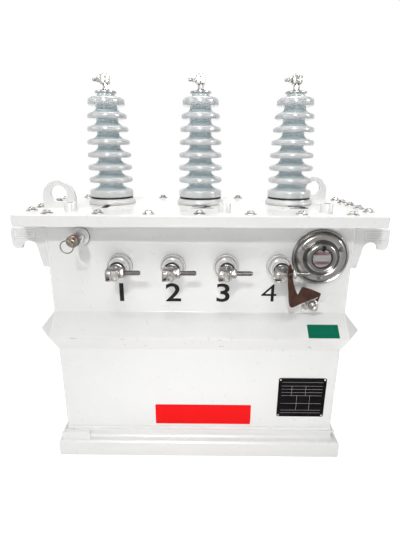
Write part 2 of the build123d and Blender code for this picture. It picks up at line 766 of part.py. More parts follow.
with BuildPart() as earth_strap:
    with BuildSketch(Plane(origin=(strap_x, strap_y, LV_HEIGHT), x_dir=(0, 1, 0), z_dir=(1, 0, 0))):
        Circle(STRAP_WIDTH / 2)
        Rectangle(STRAP_WIDTH, STRAP_LEG, align=(Align.CENTER, Align.MAX))
        Circle(LV_STUD_RADIUS + STRAP_HOLE_CLEARANCE, mode=Mode.SUBTRACT)
    extrude(amount=STRAP)
    for step in range(STRAP_TWIST_STEPS + 1):
        share = step / STRAP_TWIST_STEPS
        twist = Plane(
            origin=(
                strap_x + STRAP / 2 + share * (strap_fold_x - strap_x),
                strap_y + share * (strap_low_y - STRAP / 2 - strap_y),
                LV_HEIGHT - STRAP_LEG - share * STRAP_TWIST,
            ),
            x_dir=(1, 0, 0),
            z_dir=(0, 0, -1),
        )
        with BuildSketch(twist):
            Rectangle(STRAP, STRAP_WIDTH, rotation=90 * share)
    loft(ruled=True)
    with BuildSketch(Plane(origin=(0, strap_low_y, 0), x_dir=(1, 0, 0), z_dir=(0, -1, 0))):
        with BuildLine():
            left = strap_fold_x + STRAP / 2 - STRAP_WIDTH / 2
            Polyline(
                (left, strap_fold_level),
                from_earth(STRAP_TIP),
                from_earth(STRAP_CROOK),
                from_earth((-STRAP_WIDTH / 2, -STRAP_WIDTH / 2)),
                from_earth((STRAP_WIDTH / 2, -STRAP_WIDTH / 2)),
                from_earth(STRAP_SHOULDER),
                from_earth(STRAP_CREST),
                (left + STRAP_WIDTH, strap_fold_level),
                close=True,
            )
        make_face()
    extrude(amount=STRAP)
save(earth_strap.part, "earth_strap")
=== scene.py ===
import math
import bpy
from mathutils import Matrix, Vector


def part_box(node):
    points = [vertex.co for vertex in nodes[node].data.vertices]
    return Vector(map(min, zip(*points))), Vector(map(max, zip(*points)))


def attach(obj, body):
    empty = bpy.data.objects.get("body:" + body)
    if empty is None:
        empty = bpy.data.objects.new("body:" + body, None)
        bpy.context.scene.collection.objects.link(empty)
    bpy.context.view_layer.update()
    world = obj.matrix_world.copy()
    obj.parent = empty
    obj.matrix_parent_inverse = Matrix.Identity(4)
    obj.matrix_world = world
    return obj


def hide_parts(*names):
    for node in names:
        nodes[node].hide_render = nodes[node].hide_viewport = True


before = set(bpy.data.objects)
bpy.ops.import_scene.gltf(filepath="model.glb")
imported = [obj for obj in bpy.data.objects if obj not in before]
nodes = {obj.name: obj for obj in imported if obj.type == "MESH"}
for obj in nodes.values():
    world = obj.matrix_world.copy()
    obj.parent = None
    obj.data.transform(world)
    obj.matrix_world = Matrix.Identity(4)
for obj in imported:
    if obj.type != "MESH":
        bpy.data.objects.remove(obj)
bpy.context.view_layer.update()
bpy.ops.object.select_all(action="DESELECT")

# Camera, a little above the lid and in front of it, looking down at the tank. Its place, tilt
# and lens were fitted to the corners of the lid and the walls.
pitch, yaw, roll = math.radians(17.17), math.radians(-0.4), math.radians(0.23)
to_right = Vector((math.cos(yaw), -math.sin(yaw), 0))
ahead = Vector((math.sin(yaw) * math.cos(pitch), math.cos(yaw) * math.cos(pitch), -math.sin(pitch)))
overhead = to_right.cross(ahead)
across = math.cos(roll) * to_right + math.sin(roll) * overhead
upright = math.cos(roll) * overhead - math.sin(roll) * to_right
bpy.ops.object.camera_add()
camera = bpy.context.object
camera.matrix_world = Matrix.Translation((0.0085, -1.1775, 0.9766)) @ Matrix(
    (across, upright, -ahead)
).transposed().to_4x4()
camera.data.sensor_width = 36
camera.data.lens = 24.67
camera.data.clip_end = 60
bpy.context.scene.camera = camera

# Lamps and surroundings. A small lamp high in front draws the sharp shadow under the lid. Wide
# ones above, below, beside and behind the tank fill its shades. The two glints light nothing:
# they are only mirrored, as dots of light on porcelain and metal. The surroundings are white up
# to the horizon, grey above it and pale overhead, and light almost nothing.
bpy.context.scene.view_settings.view_transform = "Standard"


def area_lamp(name, place, aim, size, power, lights=True, mirrored=True):
    """A square lamp at a place, turned to a point. It may only light, or only be mirrored."""
    bpy.ops.object.light_add(type="AREA", location=place)
    lamp = bpy.context.object
    lamp.name = name
    lamp.rotation_euler = (Vector(aim) - Vector(place)).to_track_quat("-Z", "Y").to_euler()
    lamp.data.size = size
    lamp.data.energy = power
    lamp.visible_camera = False
    lamp.visible_diffuse = lights
    lamp.visible_glossy = mirrored


area_lamp("lamp_front", (-0.9, -4.98, 4.8), (0, -0.16, 0.6), 0.4, 150)
area_lamp("lamp_high", (0, -1.7, 3.6), (0, -0.2, 0.6), 1.0, 25, mirrored=False)
area_lamp("lamp_low", (0, -0.85, 0.02), (0, -0.851, 1), 1.0, 1.0)
area_lamp("lamp_base", (0, -0.95, 0.03), (0, -0.2, 0.03), 0.7, 1.9)
area_lamp("lamp_top", (0, 0.1, 3.3), (0, 0, 0.8), 1.6, 54)
area_lamp("lamp_left", (-3.2, -1.6, 1.8), (0, 0, 0.6), 1.6, 21)
area_lamp("lamp_right", (3.2, -1.2, 1.6), (0, 0, 0.6), 1.6, 16)
area_lamp("lamp_back", (0, 4.6, 1.6), (0, 0, 0.6), 2.2, 92, mirrored=False)
area_lamp("glint_front", (-0.25, -4.1, 2.0), (0, 0, 1.0), 0.45, 200, lights=False)
area_lamp("glint_right", (3.3, -1.2, 1.9), (0, 0, 1.0), 0.35, 90, lights=False)


def add(tree, kind, inputs=None, **settings):
    """A new node with its settings and inputs. A node given as an input is its first output."""
    node = tree.nodes.new("ShaderNode" + kind)
    for label, value in settings.items():
        setattr(node, label, value)
    for label, value in (inputs or {}).items():
        if isinstance(value, bpy.types.Node):
            value = value.outputs[0]
        if isinstance(value, bpy.types.NodeSocket):
            tree.links.new(value, node.inputs[label])
        else:
            node.inputs[label].default_value = value
    return node


def seen_directly(tree):
    """1 on rays from the camera, off a mirror or through glass, and 0 on those that only light."""
    path = add(tree, "LightPath").outputs
    seen = add(
        tree, "Math", {0: path["Is Camera Ray"], 1: path["Is Glossy Ray"]}, operation="MAXIMUM"
    )
    return add(tree, "Math", {0: seen, 1: path["Is Transmission Ray"]}, operation="MAXIMUM")


world = bpy.data.worlds.new("white_surroundings")
bpy.context.scene.world = world
world.use_nodes = True
sky = world.node_tree
sky.nodes.clear()
direction = add(sky, "SeparateXYZ", {0: add(sky, "TexCoord").outputs["Generated"]})
studio = add(sky, "ValToRGB", {0: direction.outputs["Z"]})
low_white, grey = studio.color_ramp.elements
low_white.position, low_white.color = 0.42, (1, 1, 1, 1)
grey.position, grey.color = 0.62, (0.3, 0.3, 0.31, 1)
studio.color_ramp.elements.new(0.85).color = (0.75, 0.75, 0.75, 1)
shown = add(sky, "Background", {"Color": studio})
fill = add(sky, "Background", {"Color": (1, 1, 1, 1), "Strength": 0.05})
either = add(sky, "MixShader", {0: seen_directly(sky), 1: fill, 2: shown})
add(sky, "OutputWorld", {0: either})

# Floor of the studio. It shows white, whiter far away, and keeps a faint shadow of the tank.
bpy.ops.mesh.primitive_plane_add(size=30)
floor = bpy.context.object
floor.name = "studio_floor"
ground = bpy.data.materials.new("studio_floor")
ground.use_nodes = True
tree = ground.node_tree
tree.nodes.clear()
lit_floor = add(tree, "BsdfDiffuse", {"Color": (0.92, 0.92, 0.92, 1)})
shadow_floor = add(tree, "BsdfDiffuse", {"Color": (0.3, 0.3, 0.3, 1)})
away = add(tree, "VectorMath", {0: add(tree, "TexCoord").outputs["Object"]}, operation="LENGTH")
far_white = {"From Min": 1.1, "From Max": 3.2, "To Min": 0.87, "To Max": 1.0}
brighter = add(tree, "MapRange", {"Value": away.outputs["Value"], **far_white})
glow = add(tree, "Emission", {"Strength": brighter})
both = add(tree, "AddShader", {0: shadow_floor, 1: glow})
choice = add(tree, "MixShader", {0: seen_directly(tree), 1: lit_floor, 2: both})
add(tree, "OutputMaterial", {0: choice})
floor.data.materials.append(ground)


# Folded tank, base rails, floor plate, rim and lid: steel sheet, welded, and sprayed with
# glossy white paint. The coat has a fine orange-peel surface, and thin dust has settled in it.
def effect_group(name, wants, gives):
    """An empty node group with named inputs and outputs."""
    group = bpy.data.node_groups.new(name, "ShaderNodeTree")
    for label, kind, value in wants:
        group.interface.new_socket(label, in_out="INPUT", socket_type=kind).default_value = value
    for label, kind in gives:
        group.interface.new_socket(label, in_out="OUTPUT", socket_type=kind)
    return group, group.nodes.new("NodeGroupInput"), group.nodes.new("NodeGroupOutput")


# Clouded colour: a colour that drifts towards a second one in soft patches, with roughness
clouding, into, out_of = effect_group(
    "clouded_colour",
    [
        ("Colour", "NodeSocketColor", (0.8, 0.8, 0.8, 1)),
        ("Patches", "NodeSocketColor", (0.5, 0.5, 0.5, 1)), ("Amount", "NodeSocketFloat", 0.2),
        ("Scale", "NodeSocketFloat", 4.0), ("Roughness", "NodeSocketFloat", 0.3),
        ("Roughness spread", "NodeSocketFloat", 0.1),
    ],
    [("Colour", "NodeSocketColor"), ("Roughness", "NodeSocketFloat")],
)
where = add(clouding, "TexCoord").outputs["Object"]
scale = into.outputs["Scale"]
clouds = add(
    clouding, "TexNoise", {"Vector": where, "Scale": scale, "Detail": 7, "Roughness": 0.62}
)
spots_scale = add(clouding, "Math", {0: scale, 1: 14}, operation="MULTIPLY")
spots = add(clouding, "TexNoise", {"Vector": where, "Scale": spots_scale, "Detail": 5})
patch = add(clouding, "MapRange", {"Value": clouds, "From Min": 0.38, "From Max": 0.72})
speckled = add(clouding, "Math", {0: spots, 1: 0.6, 2: patch}, operation="MULTIPLY_ADD")
share = add(
    clouding, "Math", {0: speckled, 1: into.outputs["Amount"]}, operation="MULTIPLY", use_clamp=True
)
colours = {"Color1": into.outputs["Colour"], "Color2": into.outputs["Patches"]}
blend_colour = add(clouding, "MixRGB", {"Fac": share, **colours})
uneven = {0: spots, 1: into.outputs["Roughness spread"], 2: into.outputs["Roughness"]}
uneven = add(clouding, "Math", uneven, operation="MULTIPLY_ADD")
clouding.links.new(blend_colour.outputs[0], out_of.inputs["Colour"])
clouding.links.new(uneven.outputs[0], out_of.inputs["Roughness"])

# Fine relief: the height of a small irregular grain, such as orange peel or a cast skin
relief, into, out_of = effect_group(
    "fine_relief",
    [("Scale", "NodeSocketFloat", 300.0), ("Sharpness", "NodeSocketFloat", 2.0)],
    [("Height", "NodeSocketFloat")],
)
where = add(relief, "TexCoord").outputs["Object"]
fineness = {"Scale": into.outputs["Scale"], "Detail": into.outputs["Sharpness"]}
grain = add(relief, "TexNoise", {"Vector": where, **fineness})
relief.links.new(grain.outputs[0], out_of.inputs["Height"])

# Settled dust: a mask that is full on faces that look up and breaks up into patches
settled, into, out_of = effect_group(
    "settled_dust",
    [
        ("Colour", "NodeSocketColor", (0.8, 0.8, 0.8, 1)),
        ("Dust", "NodeSocketColor", (0.5, 0.47, 0.42, 1)), ("Amount", "NodeSocketFloat", 0.2),
        ("Scale", "NodeSocketFloat", 9.0),
    ],
    [("Colour", "NodeSocketColor")],
)
facing = add(settled, "SeparateXYZ", {0: add(settled, "NewGeometry").outputs["Normal"]})
lies = add(
    settled, "MapRange", {"Value": facing.outputs["Z"], "From Min": 0.3, "From Max": 0.95}
)
drifts = {"Vector": add(settled, "TexCoord").outputs["Object"], "Scale": into.outputs["Scale"]}
drifts = add(settled, "TexNoise", {**drifts, "Detail": 8, "Roughness": 0.7})
broken = add(settled, "MapRange", {"Value": drifts, "From Min": 0.42, "From Max": 0.75})
dusty = add(settled, "Math", {0: lies, 1: broken}, operation="MULTIPLY")
dust_share = add(settled, "Math", {0: dusty, 1: into.outputs["Amount"]}, operation="MULTIPLY")
colours = {"Color1": into.outputs["Colour"], "Color2": into.outputs["Dust"]}
dusted = add(settled, "MixRGB", {"Fac": dust_share, **colours})
settled.links.new(dusted.outputs[0], out_of.inputs["Colour"])


def finish(name, metallic=0.0, coat=0.0, coat_roughness=0.05, ior=1.5, specular=0.5):
    """A material with one shader whose even values are set here."""
    made = bpy.data.materials.new(name)
    made.use_nodes = True
    shader = made.node_tree.nodes["Principled BSDF"]
    shader.inputs["Metallic"].default_value = metallic
    shader.inputs["Coat Weight"].default_value = coat
    shader.inputs["Coat Roughness"].default_value = coat_roughness
    shader.inputs["IOR"].default_value = ior
    shader.inputs["Specular IOR Level"].default_value = specular
    return made, made.node_tree, shader


def clouded(tree, shader, colour, patches, amount, scale, roughness, spread):
    """Feed a finish's colour and roughness from the clouded colour group."""
    values = {"Colour": (*colour, 1), "Patches": (*patches, 1), "Amount": amount, "Scale": scale}
    values.update({"Roughness": roughness, "Roughness spread": spread})
    node = add(tree, "Group", values, node_tree=clouding)
    tree.links.new(node.outputs["Colour"], shader.inputs["Base Color"])
    tree.links.new(node.outputs["Roughness"], shader.inputs["Roughness"])
    return node.outputs["Colour"]


def roughened(tree, shader, scale, sharpness, strength, distance):
    """Feed a finish's normal from the fine relief group through a bump."""
    grain = add(tree, "Group", {"Scale": scale, "Sharpness": sharpness}, node_tree=relief)
    bump = add(tree, "Bump", {"Height": grain, "Strength": strength, "Distance": distance})
    tree.links.new(bump.outputs["Normal"], shader.inputs["Normal"])


def mottled(name, colour, patches, clouds, grain=None, **even):
    """A finish with clouded colour and roughness, and a fine grain where one is given."""
    material, tree, shader = finish(name, **even)
    clouded(tree, shader, colour, patches, *clouds)
    if grain:
        roughened(tree, shader, *grain)
    return material


white_paint, tree, shader = finish("white_paint", coat=0.35, coat_roughness=0.06)
colour = clouded(tree, shader, (0.8, 0.8, 0.79), (0.72, 0.715, 0.7), 0.35, 3.0, 0.24, 0.1)
dust = {"Colour": colour, "Dust": (0.55, 0.53, 0.49, 1), "Amount": 0.22, "Scale": 11.0}
dust = add(tree, "Group", dust, node_tree=settled)
tree.links.new(dust.outputs["Colour"], shader.inputs["Base Color"])
roughened(tree, shader, 420.0, 2.0, 0.12, 0.0006)


def paint_nodes(material, *names):
    """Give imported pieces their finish."""
    for name in names:
        for slot in nodes[name].material_slots:
            slot.material = material


def rounded_edges(name, width):
    """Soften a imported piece's sharp edges without touching its mesh."""
    merge = nodes[name].modifiers.new("merged_corners", "WELD")
    merge.merge_threshold = 0.00001
    soften = nodes[name].modifiers.new("soft_edges", "BEVEL")
    soften.width = width
    soften.segments = 2
    soften.limit_method = "ANGLE"
    soften.angle_limit = math.radians(28)
    even = nodes[name].modifiers.new("flat_faces", "WEIGHTED_NORMAL")
    even.keep_sharp = True


paint_nodes(
    white_paint,
    "base_rail_front", "base_rail_back", "base_rail_left", "base_rail_right",
    "tank_floor", "front_wall", "back_wall", "left_wall", "right_wall", "ridge_corners",
    "tank_rim", "lid", "lug_left", "lug_right", "hook_front_left", "hook_front_right",
    "hook_back_left", "hook_back_right", "relief_valve_seat", "earth_pad",
)
for name in ("lug_left", "lug_right", "hook_front_left", "hook_front_right", "hook_back_left",
             "hook_back_right", "earth_pad", "tank_floor", "front_wall", "back_wall"):
    rounded_edges(name, 0.0012)


# Weld beads: rippled fillets where the walls stand on the floor plate, down the corners of the
# tank, along the mitres of the ridge, and beside the hooks and lugs. They are painted over.
def settle(piece, material, slot, *replaced):
    """Give a finished piece its material and its body, and hide the nodes it stands for. The slot
    is not used.
    """
    piece.data.materials.clear()
    piece.data.materials.append(material)
    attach(piece, "root")
    if replaced:
        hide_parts(*replaced)
    return piece


def pick(piece):
    """Select one piece and nothing else."""
    bpy.ops.object.select_all(action="DESELECT")
    piece.select_set(True)
    bpy.context.view_layer.objects.active = piece


def fix_place(piece, place=(0, 0, 0), turn=(0, 0, 0)):
    """Move and turn a piece, and put its place in its mesh."""
    pick(piece)
    piece.location = place
    piece.rotation_euler = turn
    bpy.ops.object.transform_apply(location=True, rotation=True, scale=True)


def whole_mesh(action, **values):
    """Run one mesh operator on all of the active piece."""
    bpy.ops.object.mode_set(mode="EDIT")
    bpy.ops.mesh.select_all(action="SELECT")
    action(**values)
    bpy.ops.object.mode_set(mode="OBJECT")


def turned(name, profile, place=(0, 0, 0), turn=(0, 0, 0), around=48, smooth=35):
    """Turn a profile of radius and level ring by ring, as on a lathe. A ring closes on itself."""
    ring = profile[0] == profile[-1]
    bpy.ops.object.select_all(action="DESELECT")
    bpy.ops.mesh.primitive_circle_add(
        vertices=around,
        radius=profile[0][0],
        fill_type="NOTHING" if ring else "NGON",
        location=(0, 0, profile[0][1]),
    )
    piece = bpy.context.object
    piece.name = name
    bpy.ops.object.transform_apply(location=True)
    bpy.ops.object.mode_set(mode="EDIT")
    bpy.ops.mesh.select_all(action="SELECT")
    for (inner, low), (outer, high) in zip(profile, profile[1:]):
        bpy.ops.mesh.extrude_region_move(TRANSFORM_OT_translate={"value": (0, 0, high - low)})
        if outer != inner:
            grow = outer / inner
            bpy.ops.transform.resize(value=(grow, grow, 1), center_override=(0, 0, high))
    bpy.ops.mesh.select_all(action="SELECT")
    bpy.ops.mesh.remove_doubles(threshold=0.000005)
    bpy.ops.mesh.normals_make_consistent(inside=False)
    bpy.ops.object.mode_set(mode="OBJECT")
    bpy.ops.object.shade_smooth_by_angle(angle=math.radians(smooth))
    fix_place(piece, place, turn)
    return piece


def another(piece, name, shift=(0, 0, 0), spin=0.0):
    """A copy of a piece with its own mesh, turned about the upright axis and then shifted."""
    pick(piece)
    bpy.ops.object.duplicate(linked=False)
    copy = bpy.context.object
    copy.name = name
    copy.matrix_world = Matrix.Translation(Vector(shift)) @ Matrix.Rotation(spin, 4, "Z")
    bpy.ops.object.transform_apply(location=True, rotation=True, scale=True)
    return copy


def joined(name, pieces):
    """Several pieces made into one."""
    bpy.ops.object.select_all(action="DESELECT")
    for piece in pieces:
        piece.select_set(True)
    bpy.context.view_layer.objects.active = pieces[0]
    if len(pieces) > 1:
        bpy.ops.object.join()
    pieces[0].name = name
    return pieces[0]


def shaped_by(piece, kind, **values):
    """Add a modifier to a piece and apply it."""
    bpy.context.view_layer.objects.active = piece
    change = piece.modifiers.new(kind, kind)
    for label, value in values.items():
        setattr(change, label, value)
    bpy.ops.object.modifier_apply(modifier=change.name)
    return piece


def weld_bead(name, start, end, radius, ripple=0.005, around=8):
    """A rippled bead from one point to another."""
    run = Vector(end) - Vector(start)
    count = max(2, round(run.length / ripple))
    step = run.length / count
    scallop = [
        (radius * 0.86, 0), (radius * 0.99, step * 0.3), (radius, step * 0.62),
        (radius * 0.93, step * 0.86), (radius * 0.86, step),
    ]
    bead = turned(name, scallop, around=around, smooth=60)
    bpy.ops.object.mode_set(mode="EDIT")
    bpy.ops.mesh.select_all(action="DESELECT")
    bpy.ops.mesh.select_face_by_sides(number=4, type="GREATER", extend=False)
    bpy.ops.mesh.delete(type="ONLY_FACE")
    bpy.ops.object.mode_set(mode="OBJECT")
    shaped_by(
        bead, "ARRAY", count=count, use_relative_offset=False, use_constant_offset=True,
        constant_offset_displace=(0, 0, step), use_merge_vertices=True, merge_threshold=0.00002,
    )
    whole_mesh(bpy.ops.mesh.fill_holes, sides=around)
    whole_mesh(bpy.ops.mesh.normals_make_consistent, inside=False)
    fix_place(bead, start, run.to_track_quat("Z", "Y").to_euler())
    return bead


wall_x, wall_y = 0.438, 0.163
floor_top, fold_low, ridge, fold_high, lid_under = 0.096, 0.392, 0.462, 0.519, 0.79
ridge_out_front, ridge_out_side = 0.0605, 0.0465
seam, seam_inset, seam_ripple = 0.003, 0.0015, 0.004
mitre, mitre_inset = 0.0026, 0.0012
beads = []
for side in (-1, 1):
    x, y = side * wall_x, side * wall_y
    beads.append(weld_bead("bead", (-wall_x, y, floor_top), (wall_x, y, floor_top), 0.0058))
    beads.append(weld_bead("bead", (x, -wall_y, floor_top), (x, wall_y, floor_top), 0.0058))
    for end in (-1, 1):
        y = end * wall_y
        inset = (side * (wall_x - seam_inset), end * (wall_y - seam_inset))
        for low, high in ((floor_top, fold_low), (fold_high, lid_under + 0.012)):
            beads.append(weld_bead("bead", (*inset, low), (*inset, high), seam, seam_ripple))
        inward = Vector((-side * mitre_inset, -end * mitre_inset, 0))
        for apex in ((x, y + end * ridge_out_front, ridge), (x + side * ridge_out_side, y, ridge)):
            tip = Vector(apex) + inward
            for fold in (fold_low, fold_high):
                start = Vector((x, y, fold)) + inward
                beads.append(weld_bead("bead", start, tip, mitre, seam_ripple))
for name in ("hook_front_left", "hook_front_right", "hook_back_left", "hook_back_right"):
    low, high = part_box(name)
    x = -wall_x if low.x < 0 else wall_x
    for y in (low.y, high.y):
        beads.append(weld_bead("bead", (x, y, low.z), (x, y, high.z), 0.0036))
for name in ("lug_left", "lug_right"):
    low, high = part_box(name)
    for y in (low.y, high.y):
        beads.append(weld_bead("bead", (low.x, y, low.z), (high.x, y, low.z), 0.0042))
    for x in (low.x, high.x):
        beads.append(weld_bead("bead", (x, low.y, low.z), (x, high.y, low.z), 0.0042))
weld_beads = joined("weld_beads", beads)
settle(weld_beads, white_paint, "tank_paint")

# Lid bolts: each a plated hexagon nut and a plain washer on a threaded stud that comes up
# through the lid and the rim. Rows follow all four edges.
plated_steel = mottled(
    "plated_steel", (0.64, 0.63, 0.61), (0.15, 0.14, 0.13),
    (0.55, 42.0, 0.15, 0.16), (900.0, 3.0, 0.1, 0.0003), metallic=1.0,
)


def hexagon_nut(name, across, thickness, place=(0, 0, 0), turn=(0, 0, 0)):
    """A hexagon nut with chamfered corners and a washer face."""
    corner = across / math.sqrt(3)
    bpy.ops.object.select_all(action="DESELECT")
    bpy.ops.mesh.primitive_cylinder_add(
        vertices=6, radius=corner, depth=thickness, location=(0, 0, thickness / 2),
    )
    nut = bpy.context.object
    nut.name = name
    bpy.ops.object.transform_apply(location=True)
    chamfer = thickness * 0.22
    cone = turned(
        "chamfer",
        [
            (across * 0.46, 0), (corner, chamfer), (corner * 1.02, thickness - chamfer),
            (across * 0.46, thickness),
        ],
        around=36,
    )
    shaped_by(nut, "BOOLEAN", operation="INTERSECT", object=cone, solver="EXACT")
    bpy.data.objects.remove(cone)
    shaped_by(
        nut, "BEVEL", width=across * 0.02, segments=2, limit_method="ANGLE",
        angle_limit=math.radians(40),
    )
    pick(nut)
    bpy.ops.object.shade_smooth_by_angle(angle=math.radians(30))
    fix_place(nut, place, turn)
    return nut


def threaded_stud(name, radius, length, pitch, place=(0, 0, 0), turn=(0, 0, 0)):
    """A stud whose thread is a run of fine ridges, with a chamfered end."""
    count = max(2, round(length * 0.94 / pitch))
    step = length * 0.94 / count
    profile = [(radius * 0.86, 0)]
    for index in range(count):
        level = index * step
        profile += [
            (radius, level + step * 0.4), (radius, level + step * 0.55),
            (radius * 0.86, level + step),
        ]
    profile += [(radius * 0.7, length)]
    return turned(name, profile, place, turn, around=20, smooth=50)


def mm(*points):
    """The points of a profile, given in millimetres."""
    return [(radius / 1000, level / 1000) for radius, level in points]


washer_profile = mm((16, 0), (16.5, 0.6), (16.5, 1.8), (15.7, 2.4), (9, 2.4))
washer = turned("lid_bolt", washer_profile, around=32)
nut = hexagon_nut("nut", 0.019, 0.0064, (0, 0, 0.0024))
stud = threaded_stud("stud", 0.006, 0.0112, 0.0018)
lid_bolt = joined("lid_bolt", [washer, nut, stud])
lid_top = 0.82
row_y, row_pitch, column_x, column_pitch = 0.19, 0.1383, 0.479, 0.069
places = [(step * row_pitch, y) for y in (-row_y, row_y) for step in range(-3, 4)]
places += [(x, step * column_pitch) for x in (-column_x, column_x) for step in range(-2, 3)]
lid_bolts = [
    another(lid_bolt, "lid_bolt", (x, y, lid_top), index * 0.83)
    for index, (x, y) in enumerate(places)
]
bpy.data.objects.remove(lid_bolt)
settle(joined("lid_bolts", lid_bolts), plated_steel, "tinned_metal")

# High-voltage bushings: one turned and fired porcelain body each, with seven sheds above a
# collar. Their colour is split by depth from rim to neck: pale grey on the rims, a lighter
# grey-blue in the necks. This is partly the glaze and partly painted light and shade: the necks'
# blue-grey stands for their shade under the sheds, and they are made lighter than the rims to
# make up for the light the sheds keep off.
glaze, tree, shader = finish("blue_grey_glaze", coat=0.9, coat_roughness=0.03)
pale = clouded(tree, shader, (0.56, 0.575, 0.575), (0.47, 0.485, 0.485), 0.4, 30.0, 0.16, 0.08)
# Neck colour: partly glaze, partly painted light and shade, a lighter grey-blue where the sheds
# shade the necks
neck_glaze_and_painted_light = {"Colour": (0.6, 0.69, 0.72, 1), "Patches": (0.64, 0.71, 0.73, 1), "Amount": 0.6}
neck_glaze_and_painted_light = add(tree, "Group", {**neck_glaze_and_painted_light, "Scale": 26.0}, node_tree=clouding)
wave = add(tree, "Group", {"Scale": 60.0, "Sharpness": 3.0}, node_tree=relief)
depth = add(tree, "Attribute", attribute_name="neck_depth_glaze_and_shade").outputs["Fac"]
edge = add(tree, "Math", {0: wave, 1: 0.22, 2: depth}, operation="MULTIPLY_ADD")
neck_glaze_and_shade_share = add(tree, "MapRange", {"Value": edge, "From Min": 0.26, "From Max": 0.72})
glazed = add(tree, "MixRGB", {"Fac": neck_glaze_and_shade_share, "Color1": pale, "Color2": neck_glaze_and_painted_light})
tree.links.new(glazed.outputs[0], shader.inputs["Base Color"])
roughened(tree, shader, 160.0, 1.0, 0.1, 0.0008)

hv_y, hv_pitch, hv_foot = 0.041, 0.29, 0.843
sheds, shed_pitch, first_shed = 7, 0.038, 0.044
hv_height, head_radius = 0.3078, 0.0268
neck_foot, neck_taper, rim_foot, rim_taper = 0.038, 0.006, 0.0695, 0.0135


def neck_at(level):
    """Radius of the porcelain core at a level above its foot."""
    return neck_foot - neck_taper * level / hv_height


def rim_at(level):
    """Radius of the sheds' rims, which falls off faster towards the top."""
    climb = max(0.0, (level - first_shed) / ((sheds - 1) * shed_pitch))
    return rim_foot - rim_taper * climb ** 2


shed_curve = [
    (0.86, 0.05), (0.68, 0.11), (0.5, 0.19), (0.33, 0.28), (0.19, 0.39), (0.085, 0.52),
    (0.02, 0.68),
]
profile = mm(
    (65, 0), (68, 0.8), (69.2, 3), (69.5, 8), (69.5, 16.5), (68.8, 19.8), (66.8, 22),
)
start = (0.0635, 0.0234)
profile.append(start)
for index in range(sheds):
    under = first_shed + index * shed_pitch
    rim = rim_at(under)
    neck = neck_at(under)
    span = start[0] - neck
    rise = under - start[1]
    profile += [(neck + out * span, start[1] + up * rise) for out, up in shed_curve]
    profile += [
        (neck, under - 0.001), (neck + 0.0012, under), (neck + 0.004, under + 0.0004),
        (rim - 0.0065, under + 0.0004), (rim - 0.003, under + 0.001),
        (rim - 0.0009, under + 0.0026), (rim, under + 0.005),
    ]
    if index < sheds - 1:
        profile += [
            (rim, under + 0.011), (rim - 0.0008, under + 0.0136), (rim - 0.0026, under + 0.0158),
        ]
        start = (rim - 0.0056, under + 0.0174)
        profile.append(start)
profile += [
    (rim, under + 0.015), (rim - 0.001, under + 0.0188), (rim - 0.0036, under + 0.0218),
    (rim - 0.0075, under + 0.0238), (rim - 0.014, under + 0.0252), (rim - 0.021, under + 0.0262),
    (head_radius + 0.0022, under + 0.027), (head_radius + 0.0004, under + 0.0284),
    (head_radius, under + 0.0305), (head_radius + 0.0004, hv_height - 0.002),
    (head_radius + 0.0012, hv_height),
]
hv_porcelain = turned(
    "hv_porcelain_centre_glazed", profile, (0, hv_y, hv_foot), around=72, smooth=40,
)
last_rim = first_shed + (sheds - 1) * shed_pitch + 0.005
# Depth from rim (0) to neck (1), which places the necks' painted light and shade
layer = hv_porcelain.data.attributes.new("neck_depth_glaze_and_shade", "FLOAT", "POINT")
for vertex, value in zip(hv_porcelain.data.vertices, layer.data):
    reach = math.hypot(vertex.co.x, vertex.co.y - hv_y)
    level = vertex.co.z - hv_foot
    depth = (rim_at(level) - reach) / (rim_at(level) - neck_at(level))
    if level > last_rim:
        depth = 0.0 if reach > head_radius + 0.0015 else 0.8
    value.value = max(0.0, min(1.0, depth)) if level > 0.0225 else 0.0


def settle_three(piece, node, ending, material, slot):
    """Settle a piece of the centre bushing, and a copy of it on the left and right ones."""
    for name, x in (("left", -hv_pitch), ("right", hv_pitch)):
        copy = another(piece, f"{node}_{name}_{ending}", (x, 0, 0))
        settle(copy, material, slot, f"{node}_{name}")
    settle(piece, material, slot, f"{node}_centre")


settle_three(hv_porcelain, "hv_porcelain", "glazed", glaze, "porcelain")


# Bushing seats: a black rubber gasket under each high-voltage porcelain. The lid's gasket, which
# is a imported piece, and all other seals are of the same rubber.
def joined_three(name, piece):
    """A piece of the centre bushing made into one with copies of it on the other two."""
    copies = [another(piece, piece.name, (x, 0, 0)) for x in (-hv_pitch, hv_pitch)]
    return joined(name, [piece] + copies)


black_rubber = mottled(
    "black_rubber", (0.008, 0.008, 0.008), (0.025, 0.024, 0.023),
    (0.5, 40.0, 0.5, 0.2), (700.0, 2.0, 0.3, 0.0003), specular=0.25,
)
paint_nodes(black_rubber, "lid_gasket")
hv_gasket = turned(
    "hv_gasket", mm((63, -5.5), (66.8, -5.2), (67.6, -3.6), (67.6, -1.6), (66.8, 0.2), (63, 0.6)),
    (0, hv_y, hv_foot), around=72,
)
hv_gaskets = joined_three("hv_gaskets_moulded", hv_gasket)
settle(hv_gaskets, black_rubber, "rubber", "hv_gaskets")

# Bushing caps and clamps: a plated disc with a stem on each porcelain, and a small clamp with a
# cross bolt on the stem, where the overhead lead is fixed.
tinned_bronze = mottled(
    "tinned_bronze", (0.52, 0.51, 0.49), (0.17, 0.16, 0.15),
    (0.45, 26.0, 0.14, 0.14), (500.0, 3.0, 0.1, 0.0003), metallic=1.0,
)
cap_level = hv_foot + hv_height
cap = turned(
    "hv_cap",
    mm(
        (27, 0), (31.2, 0.4), (32.5, 1.8), (32.7, 3.4), (32.2, 5.2), (30.5, 6), (25, 6.3),
        (15, 8.2), (12, 10), (10.5, 11.8), (6.5, 12.2), (6.5, 56),
    ),
    (0, hv_y, cap_level),
)
clamp_z = cap_level + 0.0385


